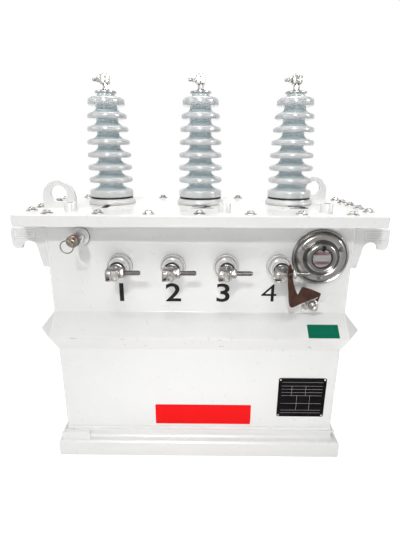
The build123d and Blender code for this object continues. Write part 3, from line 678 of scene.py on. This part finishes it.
def soft_block(name, size, place, edge, steps=3):
    """A cast block with rounded edges."""
    bpy.ops.object.select_all(action="DESELECT")
    bpy.ops.mesh.primitive_cube_add(size=1, location=place, scale=size)
    block = bpy.context.object
    block.name = name
    bpy.ops.object.transform_apply(location=True, rotation=True, scale=True)
    whole_mesh(bpy.ops.mesh.bevel, offset=edge, segments=steps, affect="EDGES")
    bpy.ops.object.shade_smooth_by_angle(angle=math.radians(40))
    return block


hv_clamp_parts = [
    soft_block("hv_clamp", (0.0145, 0.023, 0.025), (-0.0062, hv_y, clamp_z), 0.0024),
    soft_block("jaw", (0.0085, 0.022, 0.025), (0.0088, hv_y, clamp_z), 0.002),
    soft_block("keeper", (0.01, 0.015, 0.02), (0.003, hv_y, clamp_z), 0.002),
    hexagon_nut("neck", 0.0165, 0.015, (0, hv_y, cap_level + 0.0105), (0, 0, 0.26)),
    turned("washer", mm((8.5, 0), (9, 0.5), (9, 1.8), (4, 1.9)),
           (-0.0134, hv_y, clamp_z), (0, -math.pi / 2, 0), around=28),
    hexagon_nut("nut", 0.0145, 0.009, (-0.0155, hv_y, clamp_z), (0, -math.pi / 2, 0)),
    threaded_stud("stud", 0.005, 0.024, 0.0015, (-0.013, hv_y, clamp_z), (0, -math.pi / 2, 0)),
]
for shift in (-0.0062, 0.0062):
    place = (0.0088, hv_y - 0.0108, clamp_z + shift)
    hv_clamp_parts.append(hexagon_nut("head", 0.0088, 0.0045, place, (math.pi / 2, 0, 0)))
hv_clamp = joined("hv_clamp_centre_fitted", hv_clamp_parts)
settle_three(hv_clamp, "hv_clamp", "fitted", tinned_bronze, "tinned_metal")
settle(joined_three("hv_caps_turned", cap), tinned_bronze, "tinned_metal", "hv_caps")

# Bushing flanges: white painted rings on the lid, with a rolled lip. Their paint is a greyer
# copy of the white paint: painted shade, as the rings lie in the shade of the porcelain.
ring_profile = mm(
    (70.5, 0), (73.8, 0.8), (75, 3), (75.2, 6.2), (74.6, 9.2), (73, 11.6), (71.2, 12.8), (70, 14.6),
    (69.5, 16.6), (68, 17.5), (47, 17.6), (47, 0.5), (70.5, 0),
)
# A greyer copy of the white paint: painted shade on the flange rings
flange_paint_painted_shade = mottled(
    "flange_paint_painted_shade", (0.6, 0.6, 0.595), (0.52, 0.515, 0.505),
    (0.35, 6.0, 0.26, 0.1), coat=0.3, coat_roughness=0.06,
)
flange = turned("hv_flange", ring_profile, (0, hv_y, lid_top), around=72)
flanges = joined_three("hv_flanges_turned", flange)
settle(flanges, flange_paint_painted_shade, "tank_paint", "hv_flanges")

# Lid bosses: short welded pockets along the front edge. Two are closed by a black rubber plug,
# and the middle one is open.
boss_profile = mm(
    (19.5, 0), (18.8, 1.4), (17.2, 2.4), (17, 4.5), (17, 26.2), (16.2, 27.7), (15, 28), (12.2, 28),
    (11.2, 27.2), (11, 25.5), (11, 0.6), (19.5, 0),
)
boss_y, boss_xs = -0.167, (-0.357, 0.069, 0.349)
boss = turned("lid_boss", boss_profile, (boss_xs[0], boss_y, lid_top))
bosses = [boss] + [another(boss, "lid_boss", (x - boss_xs[0], 0, 0)) for x in boss_xs[1:]]
settle(joined("lid_bosses_turned", bosses), white_paint, "tank_paint", "lid_bosses")
plug_profile = mm((10.8, 0.8), (10.8, 26.2), (10, 27), (6, 26.8), (3, 26.2))
plug = turned("boss_plug", plug_profile, (boss_xs[0], boss_y, lid_top), around=32)
plugs = [plug, another(plug, "boss_plug", (boss_xs[2] - boss_xs[0], 0, 0))]
settle(joined("boss_plugs", plugs), black_rubber, "rubber")

# Low-voltage bushings: stepped and glazed white porcelain noses that come through the front
# wall, each on a flat gasket, with a round seal between its nose and the clamp
white_glaze = mottled(
    "white_glaze", (0.64, 0.632, 0.62), (0.48, 0.47, 0.455),
    (0.45, 24.0, 0.12, 0.1), (200.0, 2.0, 0.1, 0.0005), coat=0.5, coat_roughness=0.04, ior=1.52,
)
facing_front = (math.pi / 2, 0, 0)
facing_right = (0, math.pi / 2, 0)
lv_xs = [-0.231, -0.077, 0.077, 0.231]
lv_z = 0.664


def on_front(name, profile, x, z, out=0.0, around=64):
    """A turned piece that stands on the front wall, or at a distance out from it."""
    return turned(name, profile, (x, -wall_y - out, z), facing_front, around=around)


nose_profile = mm(
    (35, 2.4), (36.4, 2.8), (37, 4.2), (37, 9.6), (36.2, 11.8), (34.6, 12.8), (33, 12.6),
    (32, 11.2), (31.4, 9.2), (30.6, 9.2), (30, 11.2), (29.8, 18), (29, 20.6), (27.4, 21.6),
    (25.8, 21.8), (25, 23.2), (24.6, 30), (23.6, 34), (22.2, 35.6), (10, 36),
)
nose = on_front("lv_bushing_1_glazed", nose_profile, lv_xs[0], lv_z)
for index in range(1, 4):
    copy = another(nose, f"lv_bushing_{index + 1}_glazed", (lv_xs[index] - lv_xs[0], 0, 0))
    settle(copy, white_glaze, "white_porcelain", f"lv_bushing_{index + 1}")
settle(nose, white_glaze, "white_porcelain", "lv_bushing_1")
# The gaskets' black rims, just showing at the noses' edges, are partly real rubber and partly
# painted shade along those edges
gasket_profile = mm((36.2, 0), (36.6, 0.5), (36.6, 2), (36, 2.5), (12, 2.5))
gasket_rims_and_shade = [on_front("gasket", gasket_profile, x, lv_z) for x in lv_xs]
settle(joined("lv_gasket_rims_and_shade", gasket_rims_and_shade), black_rubber, "rubber")
turns = [math.tau * step / 12 for step in range(12)]
seal = [(0.0194 + 0.0034 * math.cos(angle), 0.0385 + 0.0028 * math.sin(angle)) for angle in turns]
nose_seals = [on_front("seal", seal + [seal[0]], x, lv_z, around=48) for x in lv_xs]
settle(joined("lv_seals_round", nose_seals), black_rubber, "rubber", "lv_seals")

# Low-voltage clamps: tinned castings, split to grip a bar, on a short neck. A threaded stud
# with a washer and a hexagon nut stands out to the right.
tinned_casting = mottled(
    "tinned_casting", (0.48, 0.462, 0.44), (0.1, 0.093, 0.085),
    (0.75, 55.0, 0.17, 0.22), (420.0, 5.0, 0.35, 0.0009), metallic=1.0,
)
dark_thread = mottled(
    "dark_thread", (0.17, 0.165, 0.158), (0.06, 0.058, 0.055),
    (0.6, 70.0, 0.22, 0.2), metallic=1.0,
)
clamp_y = -wall_y - 0.066


def lv_clamp(x, nut_at, nut_thick):
    """One clamp with its neck, stud, nut and cross screw."""
    body = soft_block(
        "lv_clamp", (0.03, 0.033, 0.03), (x - 0.0075, clamp_y + 0.001, lv_z - 0.006), 0.005,
    )
    jaw = soft_block(
        "jaw", (0.017, 0.0345, 0.027), (x - 0.016, clamp_y - 0.0006, lv_z - 0.0072), 0.0034, 2,
    )
    slit = soft_block(
        "slit", (0.013, 0.03, 0.0042), (x - 0.0182, clamp_y - 0.014, lv_z - 0.0135), 0.0006, 1,
    )
    for cut in (body, jaw):
        shaped_by(cut, "BOOLEAN", operation="DIFFERENCE", object=slit, solver="EXACT")
    bpy.data.objects.remove(slit)
    ledge = soft_block("ledge", (0.031, 0.03, 0.0085), (0, 0, 0), 0.0026, 2)
    fix_place(ledge, (x - 0.0078, clamp_y - 0.0012, lv_z + 0.0074), (0.2, 0.14, 0))
    side = soft_block(
        "side", (0.006, 0.029, 0.0265), (x + 0.0085, clamp_y + 0.001, lv_z - 0.0035), 0.0018, 2,
    )
    return [
        body, jaw, ledge, side,
        on_front("dome", mm((15.4, 0), (16.2, 1), (16.2, 14), (15.2, 18), (12.4, 21.2), (6, 23)),
                 x - 0.0015, lv_z + 0.0005, 0.0385, 48),
        on_front("cover_washer", mm((17.2, 0), (18, 0.6), (18, 2.2), (17.2, 2.8), (9, 3.2)),
                 x, lv_z, 0.0398, 48),
        turned("collar", mm((11.5, 0), (11.5, 2), (10.8, 2.8), (7.8, 3)),
               (x + 0.0105, clamp_y, lv_z), facing_right, around=32),
        turned("washer", mm((12.8, 0), (13.4, 0.5), (13.4, 1.8), (12.8, 2.3), (7.5, 2.3)),
               (x + nut_at - 0.0023, clamp_y, lv_z), facing_right, around=36),
        hexagon_nut("nut", 0.024, nut_thick, (x + nut_at, clamp_y, lv_z), facing_right),
        hexagon_nut("screw", 0.011, 0.0045, (x - 0.016, clamp_y, lv_z - 0.0195), (math.pi, 0, 0)),
    ]


for index, x in enumerate(lv_xs):
    nut_at, nut_thick = (0.024, 0.0095) if index == 3 else (0.0145, 0.0105)
    clamp = joined(f"lv_terminal_{index + 1}_fitted", lv_clamp(x, nut_at, nut_thick))
    settle(clamp, tinned_casting, "tinned_metal", f"lv_terminal_{index + 1}")
lv_studs = [
    threaded_stud("stud", 0.007, 0.06, 0.0026, (x + 0.009, clamp_y, lv_z), facing_right)
    for x in lv_xs
]
settle(joined("lv_studs", lv_studs), dark_thread, "tinned_metal")

# Oil gauge: a spun steel dish screwed to the wall by three nuts, with a raised boss that frames
# a glass window. Behind the glass are a white face and two red bars. A black pointer stands on
# the window's rubber ring.
spun_steel, tree, shader = finish("spun_steel", metallic=1.0)
gauge_x, gauge_z = 0.346, 0.695
colour = clouded(tree, shader, (0.245, 0.237, 0.227), (0.12, 0.115, 0.109), 0.5, 30.0, 0.14, 0.14)
where = add(tree, "TexCoord").outputs["Object"]
centred = add(tree, "Mapping", {"Vector": where, "Location": (-gauge_x, 0, -gauge_z)})
split = add(tree, "SeparateXYZ", {0: centred}).outputs
flat = add(tree, "CombineXYZ", {"X": split["X"], "Y": split["Z"]})
reach = add(tree, "VectorMath", {0: flat}, operation="LENGTH").outputs["Value"]
rings = add(tree, "TexNoise", {"W": reach, "Scale": 1400, "Detail": 4}, noise_dimensions="1D")
spin_marks = add(tree, "Bump", {"Height": rings, "Strength": 0.35, "Distance": 0.0004})
tree.links.new(spin_marks.outputs["Normal"], shader.inputs["Normal"])
polished = add(tree, "MapRange", {"Value": reach, "From Min": 0.0395, "From Max": 0.0375})
boss_colour = {"Color1": colour, "Color2": (0.135, 0.13, 0.124, 1)}
face_colour = add(tree, "MixRGB", {"Fac": polished, **boss_colour})
tree.links.new(face_colour.outputs[0], shader.inputs["Base Color"])
dish_profile = mm(
    (80.6, 0), (81, 3), (80.8, 6.2), (79.8, 8.4), (78, 9.6), (76.2, 9.2), (74.8, 7.8), (73.8, 7),
    (72.6, 7.8), (71.2, 10.4), (69.4, 13.2), (67, 15.2), (64, 16), (60, 15.8), (54.5, 15.4),
    (52, 14.6), (50, 12.6), (48.8, 10.8), (47.8, 10.4), (46.8, 11.2), (45.5, 14), (43.8, 17.6),
    (42, 20.4), (40, 22.2), (38, 22.9), (36.8, 22.8), (35.8, 22), (34.8, 21.8), (31.6, 21.9),
    (30.2, 22.2), (28.4, 21.8), (27.2, 20.2), (26.8, 17), (5, 17),
)
dish = on_front("gauge_dish_spun", dish_profile, gauge_x, gauge_z, around=96)
settle(dish, spun_steel, "gauge_steel", "gauge_dish")
gauge_nuts = []
nut_circle, nut_y = 0.0585, -wall_y - 0.0158
washer_profile = mm((7.8, 0), (7.8, 1), (4, 1.1))
for angle in (150, 25, 270):
    x = gauge_x + nut_circle * math.cos(math.radians(angle))
    z = gauge_z + nut_circle * math.sin(math.radians(angle))
    gauge_nuts += [
        on_front("washer", washer_profile, x, z, 0.015, 28),
        hexagon_nut("nut", 0.0112, 0.0042, (x, nut_y, z), facing_front),
        threaded_stud("stud", 0.0032, 0.0072, 0.0011, (x, nut_y, z), facing_front),
    ]
settle(joined("gauge_nuts", gauge_nuts), dark_thread, "tinned_metal")

window_ring_profile = mm(
    (26.2, 19.5), (30.5, 21.5), (30.2, 23.2), (28.8, 23.9), (27.2, 23.8), (26.2, 22.8),
    (26.2, 19.5),
)
window_ring = on_front("gauge_window_ring", window_ring_profile, gauge_x, gauge_z, around=72)
settle(window_ring, black_rubber, "rubber")
dial_white = mottled(
    "dial_white", (0.26, 0.252, 0.242), (0.18, 0.173, 0.166),
    (0.4, 50.0, 0.35, 0.1),
)
dial_profile = mm((26.6, 0), (26.6, 0.7), (26.2, 0.9), (4, 0.9))
dial = on_front("gauge_dial", dial_profile, gauge_x, gauge_z, 0.017)
settle(dial, dial_white, "tank_paint")
bar_red = mottled("bar_red", (0.09, 0.001, 0.002), (0.06, 0.001, 0.002), (0.5, 60.0, 0.45, 0.1))
bar_size = (0.0424, 0.0008, 0.0088)
red_bars = [
    soft_block("bar", bar_size, (gauge_x, -wall_y - 0.0182, gauge_z + up), 0.0002, 1)
    for up in (0.0132, -0.0132)
]
settle(joined("gauge_red_bars", red_bars), bar_red, "tank_paint")
pointer_black = mottled(
    "pointer_black", (0.003, 0.003, 0.003), (0.012, 0.012, 0.012),
    (0.4, 60.0, 0.5, 0.1), specular=0.1,
)
pointer = soft_block("gauge_pointer", (0.0085, 0.0026, 0.015), (0, 0, 0), 0.0011, 3)
fix_place(pointer, (gauge_x + 0.002, -wall_y - 0.0243, gauge_z + 0.0286), (0, 0.35, 0))
settle(pointer, pointer_black, "rubber")

window_glass, tree, shader = finish("window_glass", ior=1.45)
shader.inputs["Transmission Weight"].default_value = 1.0
clouded(tree, shader, (0.96, 0.97, 0.97), (0.88, 0.9, 0.89), 0.2, 30.0, 0.01, 0.03)
pane_profile = mm((26.4, 0), (26.8, 0.2), (26.8, 1.3), (26.2, 1.5), (4, 1.7))
pane = on_front("gauge_glass_pane", pane_profile, gauge_x, gauge_z, 0.0192)
settle(pane, window_glass, "window_glass", "gauge_glass")

# Relief valve: a dull brass stem and head in a ribbed, plated sleeve, on a gasket and a white
# seat, with two drops of red sealing paint on the head and a wire pull ring through its eye
dull_brass = mottled(
    "dull_brass", (0.26, 0.23, 0.185), (0.07, 0.064, 0.058),
    (0.8, 70.0, 0.28, 0.25), (700.0, 3.0, 0.3, 0.0004), metallic=1.0,
)
valve_x, valve_z = -0.339, 0.751
valve_profile = mm(
    (9.8, 10), (10, 11), (10, 50), (15.6, 50.8), (16.8, 52.2), (16.8, 59.2), (15.9, 60),
    (15.9, 61.6), (16.8, 62.4), (16.8, 69), (16.2, 70.6), (14.8, 71.4), (14, 71.2), (13.4, 70.2),
    (7.8, 70.2), (6.6, 71.6), (4, 72.2), (3.5, 74), (3.5, 83.2), (2.8, 84),
)
valve = on_front("relief_valve_turned", valve_profile, valve_x, valve_z, around=56)
settle(valve, dull_brass, "valve_metal", "relief_valve")
paint_nodes(dull_brass, "pull_ring")
sleeve_profile = mm((15, 10), (16, 11), (16, 18), (15, 19.2), (11.2, 21.2))
for index in range(6):
    level = 0.022 + index * 0.0046
    sleeve_profile += [
        (0.0108, level), (0.0113, level + 0.0008), (0.0113, level + 0.0028),
        (0.0107, level + 0.0036),
    ]
sleeve_profile += mm((10.6, 49.8), (9.6, 49.8), (9.6, 10), (15, 10))
sleeve = on_front("valve_sleeve", sleeve_profile, valve_x, valve_z, around=48)
settle(sleeve, plated_steel, "tinned_metal")
drops = [
    on_front(
        "drop", [(size, 0), (size * 0.92, 0.0006), (size * 0.6, 0.0012), (size * 0.2, 0.0014)],
        valve_x + x, valve_z + z, 0.07, 20,
    )
    for x, z, size in ((0.0058, 0.0084, 0.0044), (0.0102, 0.0118, 0.0026))
]
seal_red = mottled(
    "seal_red", (0.22, 0.003, 0.01), (0.12, 0.002, 0.006),
    (0.5, 60.0, 0.45, 0.1), specular=0.3,
)
settle(joined("valve_seal_drops", drops), seal_red, "valve_metal")
gasket_profile = mm((27.2, 0), (27.5, 0.4), (27.5, 3.4), (27.1, 3.8), (10, 3.8))
valve_gasket = on_front("valve_gasket", gasket_profile, valve_x, valve_z, around=56)
settle(valve_gasket, black_rubber, "rubber")

# Earth connection: a copper strap, rough and browned by weather, from the last stud down to a
# bolt on the welded pad. It twists, folds up over the pad, and comes back down behind.
brown_copper = mottled(
    "brown_copper", (0.112, 0.056, 0.042), (0.05, 0.027, 0.02),
    (0.9, 34.0, 0.45, 0.22), (520.0, 4.0, 0.4, 0.0005), specular=0.03,
)
rows = [
    ((240, -244, 693), (249, -224, 690)), ((238, -246, 684), (252, -222, 680)),
    ((238, -246, 669), (254.5, -222, 664)), ((239.5, -244, 651), (258.5, -221, 645)),
    ((242.5, -241, 632), (263.5, -218, 625)), ((246, -235, 615.5), (271.5, -213, 608)),
    ((249, -228, 599), (279, -206, 596)), ((253, -220, 580), (283, -200, 591)),
    ((257, -213, 564), (285.5, -196, 592)), ((262, -209.5, 555.5), (287.5, -194, 594.5)),
    ((269, -207, 555), (289.5, -192, 599)), ((279, -204, 558.5), (292, -190, 606)),
    ((292, -201, 564.5), (296, -189, 613.5)), ((316, -197.5, 572.5), (317, -188.5, 606.5)),
    ((336, -194, 580), (341, -188.5, 597)), ((342, -191.5, 582), (348, -189, 593.5)),
    ((348, -187.5, 580.5), (352.5, -186, 590.5)), ((345, -183.5, 571.5), (351, -182.6, 580)),
    ((328, -181, 560), (347, -180.8, 562)), ((327, -180.6, 542), (345, -180.6, 542)),
]
bpy.ops.object.select_all(action="DESELECT")
bpy.ops.mesh.primitive_grid_add(x_subdivisions=4, y_subdivisions=len(rows) - 1, size=1)
strap = bpy.context.object
strap.name = "earth_strap_bent"
strap_verts = sorted(strap.data.vertices, key=lambda v: (round(v.co.y, 4), v.co.x))
for index, vertex in enumerate(strap_verts):
    row = rows[index // 5]
    vertex.co = Vector(row[0]).lerp(Vector(row[1]), (index % 5) / 4) / 1000
shaped_by(strap, "SUBSURF", levels=2, render_levels=2)
shaped_by(strap, "SOLIDIFY", thickness=0.0022, offset=0)
shaped_by(
    strap, "BEVEL", width=0.0005, segments=2, limit_method="ANGLE", angle_limit=math.radians(50),
)
whole_mesh(bpy.ops.mesh.normals_make_consistent, inside=False)
bpy.ops.object.shade_smooth_by_angle(angle=math.radians(40))
settle(strap, brown_copper, "copper", "earth_strap")
bolt_x, bolt_z = 0.333, 0.552
earth_bolt = [
    turned("washer", mm((15.5, 0), (16, 0.5), (16, 2.2), (15.2, 2.8), (8, 2.9)),
           (bolt_x, -0.1818, bolt_z), facing_front, around=36),
    hexagon_nut("nut", 0.019, 0.008, (bolt_x, -0.1845, bolt_z), facing_front),
    turned("spacer", mm((12.5, 0), (13, 0.4), (13, 1.4), (12.5, 1.8), (7, 1.8)),
           (bolt_x, -0.1925, bolt_z), facing_front, around=32),
    hexagon_nut("locknut", 0.0165, 0.007, (bolt_x, -0.1943, bolt_z), facing_front),
    threaded_stud("stud", 0.0062, 0.018, 0.0016, (bolt_x, -0.19, bolt_z), facing_front),
    turned("end", mm((6.6, 0), (7.5, 0.6), (7.5, 3.2), (6.4, 5.6), (4, 7), (1, 7.4)),
           (bolt_x, -0.2042, bolt_z), facing_front, around=28),
    turned("edge_washer", mm((10.5, 0), (11, 0.5), (11, 2), (10.2, 2.6), (5, 2.6)),
           (0.313, -0.1792, 0.5485), facing_front, around=32),
    hexagon_nut("edge_nut", 0.0125, 0.006, (0.313, -0.1815, 0.5485), facing_front),
]
settle(joined("earth_bolt", earth_bolt), tinned_casting, "tinned_metal")

# Embossed earth symbol: a ring with the usual bars, raised in the wall's paint
symbol_x, symbol_z = 0.396, 0.561
bar_y, bar_thick, bar_wide = -wall_y - 0.0004, 0.001, 0.0016
ring_profile = mm((20.5, 0), (20.2, 1), (19, 1), (18.7, 0), (20.5, 0))
symbol = [on_front("ring", ring_profile, symbol_x, symbol_z, around=56)]
for wide, tall, up in (
    (bar_wide, 0.014, 0.007), (0.022, bar_wide, 0), (0.015, bar_wide, -0.0045),
    (0.008, bar_wide, -0.009),
):
    place = (symbol_x, bar_y, symbol_z + up)
    symbol.append(soft_block("bar", (wide, bar_thick, tall), place, 0.0003, 1))
settle(joined("earth_symbol", symbol), white_paint, "tank_paint")

# Painted numbers: black stencilled paint under each low-voltage bushing and on the lid in
# front of each high-voltage bushing
black_paint = mottled(
    "black_paint", (0.006, 0.006, 0.007), (0.022, 0.021, 0.021),
    (0.4, 40.0, 0.5, 0.15), specular=0.12,
)


def painted_number(name, figure, size, place, turn, wide=1.0):
    """One bold figure as a thin layer of paint."""
    bpy.ops.object.select_all(action="DESELECT")
    bpy.ops.object.text_add()
    mark = bpy.context.object
    mark.data.body = figure
    mark.data.size = size
    mark.data.align_x = "CENTER"
    mark.data.align_y = "CENTER"
    mark.data.offset = size * (-0.004 if figure == "4" else 0.015)
    mark.data.extrude = 0.00012
    bpy.ops.object.convert(target="MESH")
    mark = bpy.context.object
    mark.name = name
    mark.scale = (wide, 1, 1)
    fix_place(mark, place, turn)
    return mark


marks = [
    painted_number("mark", figure, 0.08, (x, -wall_y - 0.00012, 0.5785), facing_front, 1.25)
    for figure, x in (("1", -0.2315), ("2", -0.0775), ("3", 0.071), ("4", 0.207))
]
settle(joined("terminal_numbers", marks), black_paint, "rubber")
lid_marks = [
    painted_number("mark", figure, 0.07, (x, -0.058, lid_top + 0.00012), (0, 0, 0), 2.1)
    for figure, x in (("1", -0.2885), ("2", 0.0075), ("3", 0.301))
]
settle(joined("lid_numbers", lid_marks), black_paint, "rubber")


# Plates and stickers: a red label and a dark data plate on the lower wall, a green label on the
# ridge, and light labels on the front hooks. All are blank or carry only ruled lines.
def sticker(name, width, tall, thick, place, turn, corner):
    """A thin sheet with rounded corners, lying in its own XY plane before it is turned."""
    bpy.ops.object.select_all(action="DESELECT")
    bpy.ops.mesh.primitive_plane_add(size=1)
    sheet = bpy.context.object
    sheet.name = name
    sheet.scale = (width, tall, 1)
    bpy.ops.object.transform_apply(scale=True)
    bpy.ops.object.mode_set(mode="EDIT")
    bpy.ops.mesh.select_all(action="SELECT")
    bpy.ops.mesh.bevel(offset=corner, segments=4, affect="VERTICES")
    bpy.ops.mesh.select_all(action="SELECT")
    bpy.ops.mesh.extrude_region_move(TRANSFORM_OT_translate={"value": (0, 0, thick)})
    bpy.ops.mesh.select_all(action="SELECT")
    bpy.ops.mesh.normals_make_consistent(inside=False)
    bpy.ops.object.mode_set(mode="OBJECT")
    fix_place(sheet, place, turn)
    return sheet


red_vinyl = mottled(
    "red_vinyl", (0.86, 0.002, 0.003), (0.74, 0.003, 0.004),
    (0.3, 18.0, 0.45, 0.12), specular=0.1,
)
settle(
    sticker("red_label", 0.315, 0.0755, 0.0004, (0.0135, -wall_y, 0.1495), facing_front, 0.003),
    red_vinyl, "tank_paint",
)
green_vinyl = mottled(
    "green_vinyl", (0.003, 0.155, 0.088), (0.002, 0.115, 0.066),
    (0.5, 22.0, 0.55, 0.12), specular=0.03,
)
slope = math.radians(42.6)
green = sticker(
    "green_label", 0.091, 0.042, 0.0004, (0.3645, -0.2064, 0.4791), (slope, 0, 0), 0.0015,
)
settle(green, green_vinyl, "tank_paint")
anodised_black = mottled(
    "anodised_black", (0.003, 0.0025, 0.003), (0.01, 0.009, 0.0095),
    (0.5, 20.0, 0.5, 0.15), specular=0.03,
)
settle(
    sticker("data_plate", 0.154, 0.146, 0.0012, (0.333, -wall_y, 0.218), facing_front, 0.006),
    anodised_black, "rubber",
)
plate_line = mottled(
    "plate_line", (0.42, 0.41, 0.4), (0.28, 0.27, 0.26),
    (0.5, 30.0, 0.35, 0.15), metallic=0.6,
)
plate_x, line_wide = 0.333, 0.0006
plate_rules = [
    (0.132, line_wide, plate_x, z)
    for z in (0.276, 0.262, 0.25, 0.238, 0.226, 0.196, 0.17, 0.16)
]
for x, low, high in (
    (0.3, 0.226, 0.262), (0.345, 0.226, 0.262), (0.318, 0.17, 0.226), (0.36, 0.17, 0.226),
):
    plate_rules.append((line_wide, high - low, x, (low + high) / 2))
ruled = [
    soft_block("line", (wide, 0.0003, tall), (x, -wall_y - 0.0013, z), 0.0001, 1)
    for wide, tall, x, z in plate_rules
]
settle(joined("data_plate_lines", ruled), plate_line, "tinned_metal")
rivet_profile = mm((3.2, 0), (3, 0.8), (2.2, 1.4), (0.8, 1.6))
rivets = [
    on_front("rivet", rivet_profile, x, z, 0.0011, 20)
    for x in (0.262, 0.404)
    for z in (0.151, 0.285)
]
settle(joined("data_plate_rivets", rivets), plated_steel, "tinned_metal")
light_label = mottled(
    "light_label", (0.84, 0.84, 0.835), (0.74, 0.74, 0.73),
    (0.4, 24.0, 0.45, 0.15), specular=0.3,
)
label_ink = mottled("label_ink", (0.3, 0.3, 0.3), (0.44, 0.44, 0.44), (0.5, 60.0, 0.45, 0.1))
hook_labels, hook_lines = [], []
label_x, label_y, label_z = 0.502, -0.153, 0.7538
label_rules = (
    (0, 0.062, 0.0007, 0.0132), (0, 0.062, 0.0007, -0.0132), (-0.031, 0.0007, 0.0271, 0),
    (0.031, 0.0007, 0.0271, 0), (0, 0.05, 0.001, 0.0066), (-0.004, 0.042, 0.001, 0.0006),
    (-0.008, 0.034, 0.001, -0.006),
)
for x in (-label_x, label_x):
    place = (x, label_y, label_z)
    hook_labels.append(sticker("label", 0.068, 0.032, 0.0003, place, facing_front, 0.002))
    for shift, wide, tall, up in label_rules:
        place = (x + shift, label_y - 0.00035, label_z + up)
        hook_lines.append(soft_block("line", (wide, 0.0002, tall), place, 0.00005, 1))
settle(joined("hook_labels", hook_labels), light_label, "tank_paint")
settle(joined("hook_label_lines", hook_lines), label_ink, "rubber")
